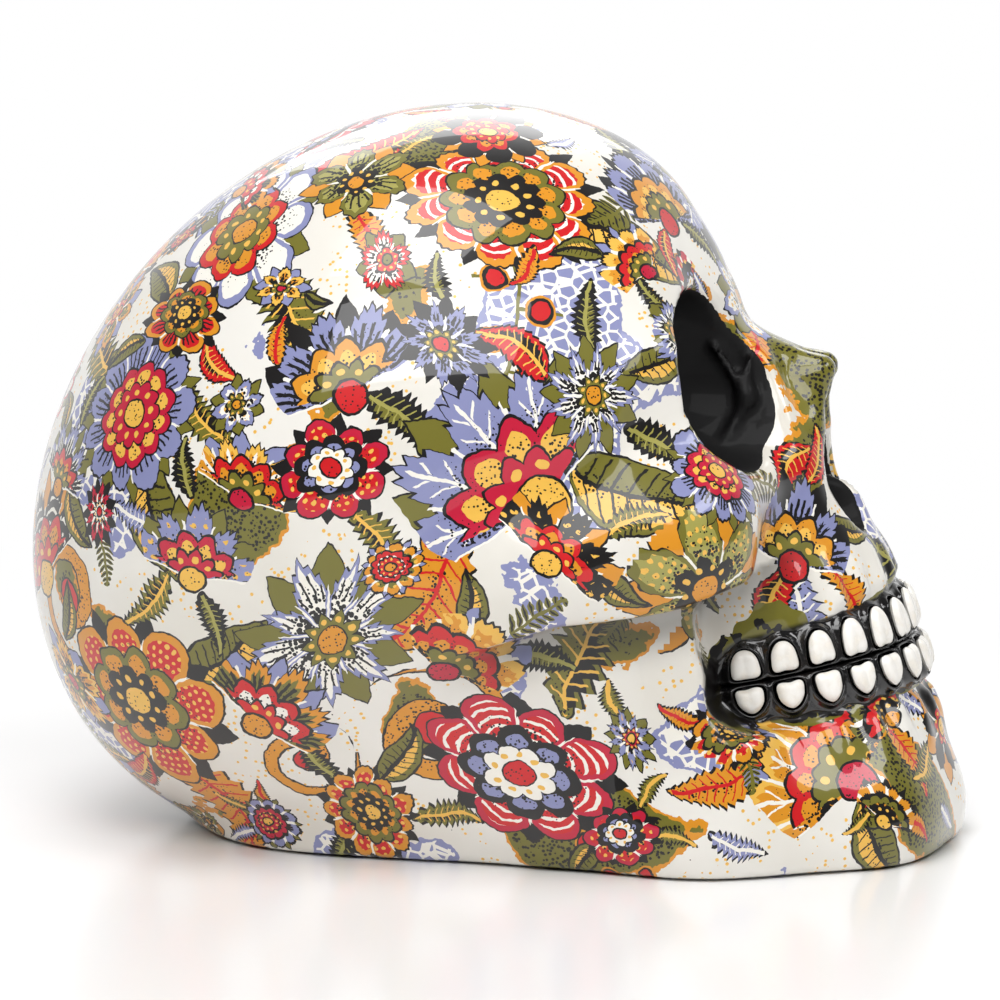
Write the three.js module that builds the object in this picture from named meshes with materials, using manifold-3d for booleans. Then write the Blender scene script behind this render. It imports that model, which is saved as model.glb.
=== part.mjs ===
import * as THREE from 'three';
import { mergeVertices } from 'three/addons/utils/BufferGeometryUtils.js';
import Module from 'manifold-3d';

// Skull ornament: a hollow cast skull with seated gums and teeth, a closing plate and a felt sheet.
// Millimetres, +Z up, the face looks along -Y, the origin is on the resting face.
// Points and lumps are given for the left half (+X), and the right half mirrors them.

// Fits
const FIT = 0.3;
const WELD = 0.004;

// Base, from the table upwards
const RIM_LIFT = 0.4;
const FELT_THICKNESS = 1.2;
const PLATE_THICKNESS = 3;
const RIM_WIDTH = 4.5;
const LAND_WIDTH = 4;
const THROAT_HEIGHT = 11;
const FOOT_CENTRE_Y = -25;
const FOOT_STEPS = 64;

// Casting
const WALL = 6.5;
const SKIN_CELL = 6.8;

// Cranium: an ellipsoid whose long axis rises towards the forehead
const CRANIUM_WIDTH = 139;
const CRANIUM_LENGTH = 174.6;
const CRANIUM_DEPTH = 141;
const CRANIUM_PITCH = 46;
const CRANIUM_CENTRE = [0, 21.6, 75];

// Upper face: a block that is squarish in plan, with its corners beside the orbits
const FACE_WIDTH = 107;
const FACE_LENGTH = 77;
const FACE_HEIGHT = 84;
const FACE_CENTRE = [0, -6, 92];
const FACE_SQUARENESS = 8;
const FACE_BLEND = 12;

// Lumps of the face, neck and jaw: ellipsoids with a centre, half sizes and a pitch that lifts the front
const NECK = { centre: [0, -4, 16], half: [47, 60, 44], pitch: 0, blend: 18 };
const GLABELLA = { centre: [0, -40, 114], half: [18, 10.5, 11], pitch: 0, blend: 9 };
const CHEEKBONE = { centre: [43, -43, 70], half: [16, 15, 14], pitch: 10, blend: 14 };
const LOWER_FACE = { centre: [0, -54, 24], half: [37, 39.5, 20], pitch: 0, blend: 8 };
const MAXILLA = { centre: [0, -51, 49], half: [32, 33.6, 33], pitch: 0, blend: 9 };

// Ramus: a block behind the teeth on each side
const RAMUS = { centre: [34, -33, 30], half: [16.5, 26, 42], pitch: 14, squareness: 5, blend: 14 };

// Bars: round-ended rods from one point to another, with a radius at each end
const ORBIT_PILLAR = { from: [45, -36.5, 106], to: [47, -38.5, 84], radii: [4, 5.5], blend: 7 };
const ARCH_FRONT = { from: [50.5, -38, 65], to: [53.5, -12, 60.5], radii: [8.5, 8], blend: 18 };
const ARCH_BACK = { from: [53.5, -12, 60.5], to: [56, 10, 56], radii: [8, 7], blend: 18 };
const ORBIT_FLOOR = { from: [40, -50, 76], to: [17, -59, 79], radii: [6, 6], blend: 8 };
const NOSE_SIDE = { from: [5, -48, 110], to: [12, -61, 82], radii: [5.5, 7.5], blend: 7 };
const NOSE_BRIDGE = { from: [0, -45, 108], to: [0, -58.5, 101.2], radii: [6, 4.4], blend: 6 };
const NASAL_TIP = { from: [0, -56, 102.6], to: [3.4, -68.6, 100.4], radii: [3.6, 2.3], blend: 4 };
const NASAL_FLOOR = { from: [0, -71, 71.5], to: [4, -68, 71], radii: [3.4, 3.4], blend: 4 };
const NOSE_RIM = { from: [3.2, -67.3, 99.4], to: [7.4, -64.6, 86], radii: [2.9, 3.4], blend: 4 };
const NOSE_WING = { from: [7.4, -64.6, 86], to: [13, -63.5, 73], radii: [3.4, 5], blend: 5 };
const CHIN = { from: [0, -81, 7], to: [20, -72.5, 7], radii: [19, 18.5], blend: 10 };
const JAW_BODY = { from: [20, -72.5, 7], to: [35.5, -47, 6], radii: [18.5, 17.5], blend: 16 };

// Ledge under the cheekbone: its height sinks towards the back and bends up at the front
const LEDGE = { level: 53.4, from: -20, sink: 0.33, bend: 0.0055 };

// Hollows under the ledge, outside a wall that flares towards the back
const UNDER_ARCH = { wall: 49.5, flare: 0.36, flareFrom: -36, corner: 4, blend: 2 };
const CHEEK_HOLLOW = {
  centre: [0, -67.5, 53.5],
  half: [400, 21.5, 24.5],
  pitch: 0,
  wall: 29,
  flare: 0.1,
  flareFrom: -90,
  corner: 4,
  blend: 2,
};

// Hollows: ellipsoids taken out of the outside
const PILLAR_FACET = { centre: [102, -71, 95], half: [60.4, 60.4, 60.4], pitch: 0, blend: 1 };
const ORBIT = { centre: [30.5, -55, 99.5], half: [18.2, 27, 18.6], pitch: 6, yaw: 22 };
const NOSTRIL = { centre: [6, -76, 76], half: [4.6, 13.5, 10], pitch: 0, yaw: 0 };
const NOSE_PEAK = { centre: [0.6, -74, 89], half: [3.9, 17, 10], pitch: 0, yaw: 0 };

// Mouth: the dental arch is a half ring round MOUTH_CENTRE, pitched up at the front
const MOUTH_CENTRE = [0, -54.4, 37.5];
const MOUTH_PITCH = 10.5;
const GUM_RADIUS = 35.2;
const GUM_LEAN = 8;
const GUM_THICKNESS = 8;
const GUM_PROUD = 0.8;
const GUM_END_MARGIN = 6;
const GUM_ROUND = 1.6;
const GUM_STEPS = 26;
const UPPER_GUM_FRONT = 11;
const UPPER_GUM_BACK = 7.8;
const LOWER_GUM_FRONT = 10.2;
const LOWER_GUM_BACK = 7.6;
const DRUM_BLEND = 5;
const DRUM_EDGE = 8;
const DRUM_BACK = 8;

// Teeth
const TEETH_PER_SIDE = 7;
const TOOTH_WIDTH = 6.4;
const TOOTH_GAP = 2.25;
const TOOTH_TAPER = 0.22;
const TOOTH_SEAT = 3;
const TOOTH_PROUD = 2;
const BITE_GAP = 2;
const UPPER_TOOTH_FRONT = 9.2;
const UPPER_TOOTH_BACK = 6;
const LOWER_TOOTH_FRONT = 7.6;
const LOWER_TOOTH_BACK = 5.2;
const TOOTH_SIDES = 10;
const BITE_EDGE_SQUARENESS = 4.5;
const GUM_EDGE_SQUARENESS = 2.3;

const wasm = await Module();
wasm.setup();

// Solids
function solidOf(geometry, matrix = new THREE.Matrix4()) {
  const plain = geometry.clone().applyMatrix4(matrix);
  plain.deleteAttribute('normal');
  plain.deleteAttribute('uv');
  const merged = mergeVertices(plain, 1e-4);
  const vertProperties = new Float32Array(merged.attributes.position.array);
  const triVerts = new Uint32Array(merged.index.array);
  return new wasm.Manifold(new wasm.Mesh({ numProp: 3, vertProperties, triVerts }));
}

// Welds points closer than WELD, and drops the slivers that this closes
function geometryOf(solid) {
  const mesh = solid.getMesh();
  const cut = new THREE.BufferGeometry();
  cut.setAttribute('position', new THREE.BufferAttribute(new Float32Array(mesh.vertProperties), 3));
  cut.setIndex(new THREE.BufferAttribute(new Uint32Array(mesh.triVerts), 1));
  const geometry = mergeVertices(cut, WELD);
  const corners = Array.from(geometry.index.array);
  const faces = [];
  for (let face = 0; face < corners.length; face += 3) {
    const [a, b, c] = corners.slice(face, face + 3);
    if (a !== b && b !== c && c !== a) {
      faces.push(a, b, c);
    }
  }
  geometry.setIndex(faces);
  geometry.computeVertexNormals();
  return geometry;
}

// Closed skin over a row of rings with equal point counts, with a fan over the first and last ring
function loft(rings) {
  const sides = rings[0].length;
  const points = rings.flat();
  const faces = [];
  for (let ring = 0; ring + 1 < rings.length; ring += 1) {
    for (let side = 0; side < sides; side += 1) {
      const a = ring * sides + side;
      const b = ring * sides + ((side + 1) % sides);
      faces.push(a, b, b + sides, a, b + sides, a + sides);
    }
  }
  for (const ring of [0, rings.length - 1]) {
    const centre = new THREE.Vector3();
    for (const point of rings[ring]) {
      centre.addScaledVector(point, 1 / sides);
    }
    const hub = points.push(centre) - 1;
    for (let side = 0; side < sides; side += 1) {
      const a = ring * sides + side;
      const b = ring * sides + ((side + 1) % sides);
      faces.push(...(ring === 0 ? [hub, b, a] : [hub, a, b]));
    }
  }
  // The sign of the enclosed volume tells which way the faces point
  let volume = 0;
  for (let face = 0; face < faces.length; face += 3) {
    const [a, b, c] = faces.slice(face, face + 3).map((index) => points[index]);
    volume += a.dot(b.clone().cross(c));
  }
  const geometry = new THREE.BufferGeometry().setFromPoints(points);
  geometry.setIndex(volume > 0 ? faces : faces.reverse());
  return geometry;
}

// Fields: functions of a point that are negative inside, with about a true distance near the surface
function turned(yaw, pitch) {
  return new THREE.Matrix4().makeRotationFromEuler(
    new THREE.Euler(THREE.MathUtils.degToRad(pitch), 0, THREE.MathUtils.degToRad(yaw), 'ZYX'),
  );
}

function ellipsoidField({ centre, half, pitch, yaw = 0 }) {
  const e = turned(yaw, -pitch).elements;
  const [rx, ry, rz] = half;
  return (px, py, pz) => {
    const dx = px - centre[0];
    const dy = py - centre[1];
    const dz = pz - centre[2];
    const x = (e[0] * dx + e[1] * dy + e[2] * dz) / rx;
    const y = (e[4] * dx + e[5] * dy + e[6] * dz) / ry;
    const z = (e[8] * dx + e[9] * dy + e[10] * dz) / rz;
    const near = Math.hypot(x, y, z) + 1e-6;
    return (near * (near - 1)) / (Math.hypot(x / rx, y / ry, z / rz) + 1e-9);
  };
}

function barField({ from, to, radii }) {
  const [ax, ay, az] = from;
  const [bx, by, bz] = [to[0] - ax, to[1] - ay, to[2] - az];
  const square = bx * bx + by * by + bz * bz;
  return (px, py, pz) => {
    const [x, y, z] = [px - ax, py - ay, pz - az];
    const along = THREE.MathUtils.clamp((x * bx + y * by + z * bz) / square, 0, 1);
    const off = Math.hypot(x - along * bx, y - along * by, z - along * bz);
    return off - radii[0] - (radii[1] - radii[0]) * along;
  };
}

function blockField({ centre, half, pitch, squareness }) {
  const e = turned(0, -pitch).elements;
  return (px, py, pz) => {
    const dy = py - centre[1];
    const dz = pz - centre[2];
    const x = Math.abs(px - centre[0]) / half[0];
    const y = Math.abs(e[5] * dy + e[6] * dz) / half[1];
    const z = (e[9] * dy + e[10] * dz) / half[2];
    const plan = (x ** squareness + y ** squareness + 1e-9) ** (1 / squareness);
    return (Math.hypot(plan, z) - 1) * Math.min(...half);
  };
}

function smoothMin(a, b, blend) {
  const share = Math.max(blend - Math.abs(a - b), 0) / blend;
  return Math.min(a, b) - share * share * blend * 0.25;
}

function smoothMax(a, b, blend) {
  return -smoothMin(-a, -b, blend);
}

// Room under the ledge, outside the wall, and within the lump where there is one
function ledgeField(shape) {
  const lump = shape.half && ellipsoidField(shape);
  return (px, py, pz) => {
    const back = py - LEDGE.from;
    const top = LEDGE.level - LEDGE.sink * Math.max(back, 0) + LEDGE.bend * Math.min(back, 0) ** 2;
    const wall = shape.wall + shape.flare * Math.max(py - shape.flareFrom, 0);
    const room = smoothMax(pz - top, wall - px, shape.corner);
    return lump ? smoothMax(room, lump(px, py, pz), shape.corner) : room;
  };
}

// Mouth frame
const mouthTurn = THREE.MathUtils.degToRad(MOUTH_PITCH);
const leanRate = Math.tan(THREE.MathUtils.degToRad(GUM_LEAN));
const mouthMatrix = new THREE.Matrix4()
  .makeTranslation(...MOUTH_CENTRE)
  .multiply(new THREE.Matrix4().makeRotationX(-mouthTurn));

function gumRadius(height) {
  return GUM_RADIUS - height * leanRate;
}

function drumField(px, py, pz) {
  const [x, y, z] = [px, py - MOUTH_CENTRE[1], pz - MOUTH_CENTRE[2]];
  const forward = y * Math.cos(mouthTurn) - z * Math.sin(mouthTurn);
  const height = y * Math.sin(mouthTurn) + z * Math.cos(mouthTurn);
  const side = Math.hypot(x, forward) - gumRadius(height) + GUM_PROUD;
  const ends = Math.max(height - UPPER_GUM_FRONT, -height - LOWER_GUM_FRONT);
  return smoothMax(smoothMax(side, ends, DRUM_EDGE), forward - DRUM_BACK, DRUM_EDGE);
}

// Skin field of the left half: the cranium, then each form in the order in which it is blended in
const cranium = {
  centre: CRANIUM_CENTRE,
  half: [CRANIUM_WIDTH / 2, CRANIUM_LENGTH / 2, CRANIUM_DEPTH / 2],
  pitch: CRANIUM_PITCH,
};
const craniumField = ellipsoidField(cranium);
const face = {
  centre: FACE_CENTRE,
  half: [FACE_WIDTH / 2, FACE_LENGTH / 2, FACE_HEIGHT / 2],
  pitch: 0,
  squareness: FACE_SQUARENESS,
  blend: FACE_BLEND,
};

function added(field, shape) {
  return (distance, ...point) => smoothMin(distance, field(...point), shape.blend);
}

function removed(field, shape) {
  return (distance, ...point) => smoothMax(distance, -field(...point), shape.blend);
}

const addedEllipsoid = (shape) => added(ellipsoidField(shape), shape);
const addedBar = (shape) => added(barField(shape), shape);
const addedBlock = (shape) => added(blockField(shape), shape);
const underLedge = (shape) => removed(ledgeField(shape), shape);
const forming = [
  addedBlock(face),
  ...[NECK, GLABELLA].map(addedEllipsoid),
  addedBar(ORBIT_PILLAR),
  removed(ellipsoidField(PILLAR_FACET), PILLAR_FACET),
  addedEllipsoid(CHEEKBONE),
  ...[ARCH_FRONT, ARCH_BACK, ORBIT_FLOOR, NOSE_SIDE].map(addedBar),
  ...[NOSE_BRIDGE, NASAL_TIP, NASAL_FLOOR, NOSE_RIM, NOSE_WING].map(addedBar),
  addedBlock(RAMUS),
  underLedge(UNDER_ARCH),
  ...[CHIN, JAW_BODY].map(addedBar),
  ...[LOWER_FACE, MAXILLA].map(addedEllipsoid),
  underLedge(CHEEK_HOLLOW),
  added(drumField, { blend: DRUM_BLEND }),
];

function skinField(px, py, pz) {
  const x = Math.abs(px);
  return forming.reduce((distance, form) => form(distance, x, py, pz), craniumField(x, py, pz));
}

// Box that holds every lump, with room for the blends
function skinBox() {
  const box = new THREE.Box3();
  const grow = (point, reach) => {
    const centre = new THREE.Vector3(...point);
    box.expandByPoint(centre.clone().addScalar(reach));
    box.expandByPoint(centre.clone().subScalar(reach));
  };
  for (const lump of [cranium, NECK, CHEEKBONE, RAMUS, LOWER_FACE, MAXILLA]) {
    grow(lump.centre, Math.max(...lump.half));
  }
  for (const bar of [CHIN, JAW_BODY, ARCH_BACK, NASAL_TIP]) {
    grow(bar.from, bar.radii[0]);
    grow(bar.to, bar.radii[1]);
  }
  box.min.x = -Math.max(box.max.x, -box.min.x);
  box.max.x = -box.min.x;
  return box.expandByScalar(2 * SKIN_CELL);
}

// Closed surface where a field is zero: one quad round each crossed edge of a grid, and in each crossed cell
// one point for each group of joined inside corners
function surfaceNet(field, box, cell) {
  const PROJECTIONS = 4;
  const SLOPE_STEP = 0.05;
  const CELL_MARGIN = 0.05;
  const size = box.getSize(new THREE.Vector3());
  const count = [size.x, size.y, size.z].map((length) => 2 * Math.ceil(length / cell / 2) + 1);
  const start = [-((count[0] - 1) / 2) * cell, box.min.y, box.min.z];
  const stride = [1, count[0], count[0] * count[1]];
  const values = new Float64Array(count[0] * count[1] * count[2]);
  const at = (i, axis) => start[axis] + i * cell;
  for (let k = 0; k < count[2]; k += 1) {
    for (let j = 0; j < count[1]; j += 1) {
      for (let i = 0; i < count[0]; i += 1) {
        values[i + j * stride[1] + k * stride[2]] = field(at(i, 0), at(j, 1), at(k, 2));
      }
    }
  }
  const shifts = Array.from({ length: 8 }, (_, corner) => [corner & 1, (corner >> 1) & 1, corner >> 2]);
  const offsets = shifts.map((shift) => shift.reduce((sum, s, axis) => sum + s * stride[axis], 0));
  const beside = shifts.map((_, corner) => [corner ^ 1, corner ^ 2, corner ^ 4]);
  const slope = ({ x, y, z }, step) => new THREE.Vector3(
    field(x + step, y, z) - field(x - step, y, z),
    field(x, y + step, z) - field(x, y - step, z),
    field(x, y, z + step) - field(x, y, z - step),
  ).divideScalar(2 * step);

  // Moves a point on to the surface, within its own cell
  function settled(point, corner) {
    const lowest = corner.clone().addScalar(CELL_MARGIN * cell);
    const highest = corner.clone().addScalar((1 - CELL_MARGIN) * cell);
    for (let step = 0; step < PROJECTIONS; step += 1) {
      const normal = slope(point, SLOPE_STEP);
      point.addScaledVector(normal, -field(point.x, point.y, point.z) / normal.lengthSq());
      point.clamp(lowest, highest);
    }
    return point;
  }

  const points = [];
  const cellPoints = new Map();
  for (let k = 0; k + 1 < count[2]; k += 1) {
    for (let j = 0; j + 1 < count[1]; j += 1) {
      for (let i = 0; i + 1 < count[0]; i += 1) {
        const base = i + j * stride[1] + k * stride[2];
        const corner = new THREE.Vector3(at(i, 0), at(j, 1), at(k, 2));
        const level = offsets.map((offset) => values[base + offset]);
        const pointOf = new Array(8).fill(-1);
        for (let first = 0; first < 8; first += 1) {
          if (level[first] < 0 && pointOf[first] < 0) {
            const mean = new THREE.Vector3();
            let crossings = 0;
            const group = [first];
            pointOf[first] = points.length;
            for (const a of group) {
              for (const b of beside[a]) {
                if (level[b] >= 0) {
                  const share = level[a] / (level[a] - level[b]);
                  const from = new THREE.Vector3(...shifts[a]);
                  mean.add(from.lerp(new THREE.Vector3(...shifts[b]), share));
                  crossings += 1;
                } else if (pointOf[b] < 0) {
                  pointOf[b] = points.length;
                  group.push(b);
                }
              }
            }
            if (crossings > 0) {
              points.push(settled(mean.multiplyScalar(cell / crossings).add(corner), corner));
            }
          }
        }
        cellPoints.set(base, pointOf);
      }
    }
  }
  const faces = [];
  const addQuad = (quad) => {
    const [p, q, r, s] = quad.map((index) => points[index]);
    const split = p.distanceTo(r) < q.distanceTo(s) ? [0, 1, 2, 0, 2, 3] : [1, 2, 3, 1, 3, 0];
    faces.push(...split.map((corner) => quad[corner]));
  };
  for (let k = 1; k + 1 < count[2]; k += 1) {
    for (let j = 1; j + 1 < count[1]; j += 1) {
      for (let i = 1; i + 1 < count[0]; i += 1) {
        const base = i + j * stride[1] + k * stride[2];
        for (let axis = 0; axis < 3; axis += 1) {
          const u = stride[(axis + 1) % 3];
          const v = stride[(axis + 2) % 3];
          const inside = values[base] < 0;
          if (inside !== values[base + stride[axis]] < 0) {
            const node = inside ? base : base + stride[axis];
            const around = [base - u - v, base - v, base, base - u];
            const quad = around.map((low) => cellPoints.get(low)[offsets.indexOf(node - low)]);
            addQuad(inside ? quad : quad.reverse());
          }
        }
      }
    }
  }
  const geometry = new THREE.BufferGeometry().setFromPoints(points);
  geometry.setIndex(faces);
  return geometry;
}

// Ellipsoid solids: larger ones get more sides
const FACET = 7;
const FEWEST_SIDES = 12;
const MOST_SIDES = 24;
const RISE_SHARE = 0.62;

function ellipsoidSolid({ centre, half, pitch, yaw = 0 }, grow, side) {
  const round = THREE.MathUtils.clamp((2 * Math.PI * Math.max(...half)) / FACET, FEWEST_SIDES, MOST_SIDES);
  const sphere = new THREE.SphereGeometry(1, Math.round(round), Math.round(round * RISE_SHARE));
  const matrix = new THREE.Matrix4()
    .makeTranslation(side * centre[0], centre[1], centre[2])
    .multiply(turned(side * yaw, -pitch))
    .multiply(new THREE.Matrix4().makeScale(...half.map((length) => length + grow)));
  return solidOf(sphere, matrix);
}

function bothSides(shape, grow) {
  return ellipsoidSolid(shape, grow, 1).add(ellipsoidSolid(shape, grow, -1));
}

// Outline of the skull at the bottom of the casting, moved inwards
function footprint(inset) {
  const FAR = 2 * CRANIUM_LENGTH;
  const HALVINGS = 40;
  const outline = [];
  for (let step = 0; step < FOOT_STEPS; step += 1) {
    const angle = (2 * Math.PI * step) / FOOT_STEPS;
    let near = 0;
    let far = FAR;
    for (let halving = 0; halving < HALVINGS; halving += 1) {
      const middle = (near + far) / 2;
      const value = skinField(Math.cos(angle) * middle, FOOT_CENTRE_Y + Math.sin(angle) * middle, RIM_LIFT);
      [near, far] = value < -inset ? [middle, far] : [near, middle];
    }
    outline.push(new THREE.Vector2(Math.cos(angle) * near, FOOT_CENTRE_Y + Math.sin(angle) * near));
  }
  return new THREE.Shape(outline);
}

function footSlab(inset, bottom, top) {
  const slab = new THREE.ExtrudeGeometry(footprint(inset), { depth: top - bottom, bevelEnabled: false });
  return slab.translate(0, 0, bottom);
}

// Dental arch: an angle of zero is the front, and each tooth takes its width and one gap
const toothPitch = (TOOTH_WIDTH + TOOTH_GAP) / (GUM_RADIUS + TOOTH_PROUD);
const gumEnd = TEETH_PER_SIDE * toothPitch + THREE.MathUtils.degToRad(GUM_END_MARGIN);

function alongArch(front, back, angle) {
  return THREE.MathUtils.lerp(front, back, Math.abs(angle) / gumEnd);
}

function archPoint(angle, radius, height) {
  return new THREE.Vector3(Math.sin(angle) * radius, -Math.cos(angle) * radius, height);
}

function archLoft(section) {
  const rings = [];
  for (let step = 0; step <= GUM_STEPS; step += 1) {
    const angle = gumEnd * ((2 * step) / GUM_STEPS - 1);
    rings.push(section(angle).map(([radius, height]) => archPoint(angle, radius, height)));
  }
  return loft(rings);
}

function gumBand(low, high) {
  return archLoft((angle) => {
    const [bottom, top] = [low(angle), high(angle)];
    const [outerBottom, outerTop] = [gumRadius(bottom), gumRadius(top)];
    return [
      [outerBottom - GUM_THICKNESS, bottom],
      [outerBottom - GUM_ROUND, bottom],
      [gumRadius(bottom + GUM_ROUND), bottom + GUM_ROUND],
      [gumRadius(top - GUM_ROUND), top - GUM_ROUND],
      [outerTop - GUM_ROUND, top],
      [outerTop - GUM_THICKNESS, top],
    ];
  });
}

const upperGumTop = (angle) => alongArch(UPPER_GUM_FRONT, UPPER_GUM_BACK, angle);
const lowerGumBottom = (angle) => -alongArch(LOWER_GUM_FRONT, LOWER_GUM_BACK, angle);

// Recess for both gums, open to the front so that no skin covers them
function gumRecess() {
  const CLEAR_OUTWARDS = 6;
  const rings = [];
  const endAngle = gumEnd + FIT / (GUM_RADIUS - GUM_THICKNESS);
  for (let step = 0; step <= GUM_STEPS; step += 1) {
    const angle = endAngle * ((2 * step) / GUM_STEPS - 1);
    const [bottom, top] = [lowerGumBottom(angle) - FIT, upperGumTop(angle) + FIT];
    const [outerBottom, outerTop] = [gumRadius(bottom), gumRadius(top)];
    const section = [
      [outerBottom - GUM_THICKNESS - FIT, bottom],
      [outerBottom + CLEAR_OUTWARDS, bottom],
      [outerTop + CLEAR_OUTWARDS, top],
      [outerTop - GUM_THICKNESS - FIT, top],
    ];
    rings.push(section.map(([radius, height]) => archPoint(angle, radius, height)));
  }
  return loft(rings);
}

// Tooth outline, looking at its face: square at the bite, arched at the gum
function toothRing(width, height, toGum, depth) {
  const ring = [];
  for (let side = 0; side < TOOTH_SIDES; side += 1) {
    const angle = (2 * Math.PI * (side + 0.5)) / TOOTH_SIDES;
    const [across, up] = [Math.cos(angle), Math.sin(angle)];
    const squareness = up * toGum > 0 ? GUM_EDGE_SQUARENESS : BITE_EDGE_SQUARENESS;
    const round = (value) => Math.sign(value) * Math.abs(value) ** (2 / squareness);
    const narrowing = 1 - (TOOTH_TAPER * (1 + toGum * round(up))) / 2;
    ring.push(new THREE.Vector3((round(across) * width * narrowing) / 2, -depth, (round(up) * height) / 2));
  }
  return ring;
}

function crown(width, height, toGum) {
  const FACE_SHARE = 0.72;
  const SHOULDER = 0.55;
  return loft([
    toothRing(width - 2 * FIT, height - 2 * FIT, toGum, FIT - TOOTH_SEAT),
    toothRing(width, height, toGum, 0),
    toothRing(width, height, toGum, TOOTH_PROUD * SHOULDER),
    toothRing(width * FACE_SHARE, height * FACE_SHARE, toGum, TOOTH_PROUD),
  ]);
}

function pocket(width, height, toGum) {
  const grown = [width + 2 * FIT, height + 2 * FIT];
  return loft([
    toothRing(...grown, toGum, -TOOTH_SEAT),
    toothRing(...grown, toGum, TOOTH_PROUD + GUM_ROUND),
  ]);
}

// Rows of teeth: the places, sizes and names of one jaw's crowns
function toothRow(jaw, toGum, front, back) {
  const row = [];
  for (const side of [-1, 1]) {
    for (let place = 0; place < TEETH_PER_SIDE; place += 1) {
      const angle = side * toothPitch * (place + 0.5);
      const height = alongArch(front, back, angle);
      const level = toGum * (BITE_GAP / 2 + height / 2);
      const seat = new THREE.Object3D();
      seat.position.copy(archPoint(angle, gumRadius(level), level));
      seat.rotation.set(THREE.MathUtils.degToRad(-GUM_LEAN), 0, angle, 'ZYX');
      seat.updateMatrix();
      const hand = side < 0 ? 'right' : 'left';
      row.push({ name: `tooth_${jaw}_${hand}_${place + 1}`, height, toGum, seat });
    }
  }
  return row;
}

// Materials
function finish(color, roughness) {
  return new THREE.MeshStandardMaterial({ color, roughness, metalness: 0 });
}

const printedResin = finish(0xebe8e1, 0.18);
const blackGloss = finish(0x141314, 0.15);
const whiteEnamel = finish(0xf0ece4, 0.2);
const greyBoard = finish(0x6b6259, 0.8);
const blackFelt = finish(0x1b1b1c, 0.95);

const skull = new THREE.Group();

function addPiece(name, geometry, material, parent) {
  const mesh = new THREE.Mesh(geometry, material);
  mesh.name = name;
  parent.add(mesh);
  return mesh;
}

// Shell: the skin, cut flat below, with the face's hollows, the gum recess, the cavity and the plate's seat
const box = skinBox();
const boxSize = box.getSize(new THREE.Vector3());
const below = new THREE.BoxGeometry(2 * boxSize.x, 2 * boxSize.y, boxSize.z);
below.translate(0, 0, RIM_LIFT - boxSize.z / 2);
const plateBottom = FELT_THICKNESS + FIT;
const plateTop = plateBottom + PLATE_THICKNESS;
const seatTop = plateTop + FIT;
const cavity = ellipsoidSolid(cranium, -WALL, 1)
  .subtract(bothSides(ORBIT, WALL))
  .add(solidOf(footSlab(RIM_WIDTH + LAND_WIDTH, 0, seatTop + THROAT_HEIGHT)));
let shell = solidOf(surfaceNet(skinField, box, SKIN_CELL)).subtract(solidOf(below));
for (const hollow of [ORBIT, NOSTRIL, NOSE_PEAK]) {
  shell = shell.subtract(bothSides(hollow, 0));
}
shell = shell
  .subtract(solidOf(gumRecess(), mouthMatrix))
  .subtract(cavity)
  .subtract(solidOf(footSlab(RIM_WIDTH, 0, seatTop)));
addPiece('skull_shell', geometryOf(shell), printedResin, skull);

// Base: the plate in its seat, and the felt under it inside the rim
addPiece('base_plate', footSlab(RIM_WIDTH + FIT, plateBottom, plateTop), greyBoard, skull);
addPiece('base_felt', footSlab(RIM_WIDTH + FIT, 0, FELT_THICKNESS), blackFelt, skull);

// Mouth: gums with a pocket for each crown, and the crowns in them
const mouth = new THREE.Group();
mouth.applyMatrix4(mouthMatrix);
skull.add(mouth);
const rows = [
  {
    gum: 'upper_gum',
    band: gumBand(() => FIT / 2, upperGumTop),
    teeth: toothRow('upper', 1, UPPER_TOOTH_FRONT, UPPER_TOOTH_BACK),
  },
  {
    gum: 'lower_gum',
    band: gumBand(lowerGumBottom, () => -FIT / 2),
    teeth: toothRow('lower', -1, LOWER_TOOTH_FRONT, LOWER_TOOTH_BACK),
  },
];
for (const { gum, band, teeth } of rows) {
  let solid = solidOf(band);
  for (const { height, toGum, seat } of teeth) {
    solid = solid.subtract(solidOf(pocket(TOOTH_WIDTH, height, toGum), seat.matrix));
  }
  addPiece(gum, geometryOf(solid), blackGloss, mouth);
  for (const { name, height, toGum, seat } of teeth) {
    const tooth = addPiece(name, crown(TOOTH_WIDTH, height, toGum), whiteEnamel, mouth);
    tooth.position.copy(seat.position);
    tooth.rotation.copy(seat.rotation);
  }
}

export default skull;
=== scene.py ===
import math

import bpy
import numpy as np
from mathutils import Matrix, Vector


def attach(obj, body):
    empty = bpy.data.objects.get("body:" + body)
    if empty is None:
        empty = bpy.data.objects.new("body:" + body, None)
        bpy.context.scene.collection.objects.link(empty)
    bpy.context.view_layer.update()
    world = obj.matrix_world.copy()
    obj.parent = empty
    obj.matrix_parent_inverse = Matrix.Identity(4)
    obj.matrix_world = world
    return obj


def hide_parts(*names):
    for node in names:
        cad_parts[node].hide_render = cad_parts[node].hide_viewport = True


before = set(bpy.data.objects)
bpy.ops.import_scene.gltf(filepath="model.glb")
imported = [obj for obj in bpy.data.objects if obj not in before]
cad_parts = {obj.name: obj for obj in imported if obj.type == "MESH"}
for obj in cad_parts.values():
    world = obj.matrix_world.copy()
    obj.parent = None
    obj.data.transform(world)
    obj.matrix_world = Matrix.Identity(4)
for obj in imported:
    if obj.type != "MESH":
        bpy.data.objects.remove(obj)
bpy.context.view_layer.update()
scene = bpy.context.scene
mm = 0.001
print("frame loaded with", len(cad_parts), "nodes")


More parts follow.
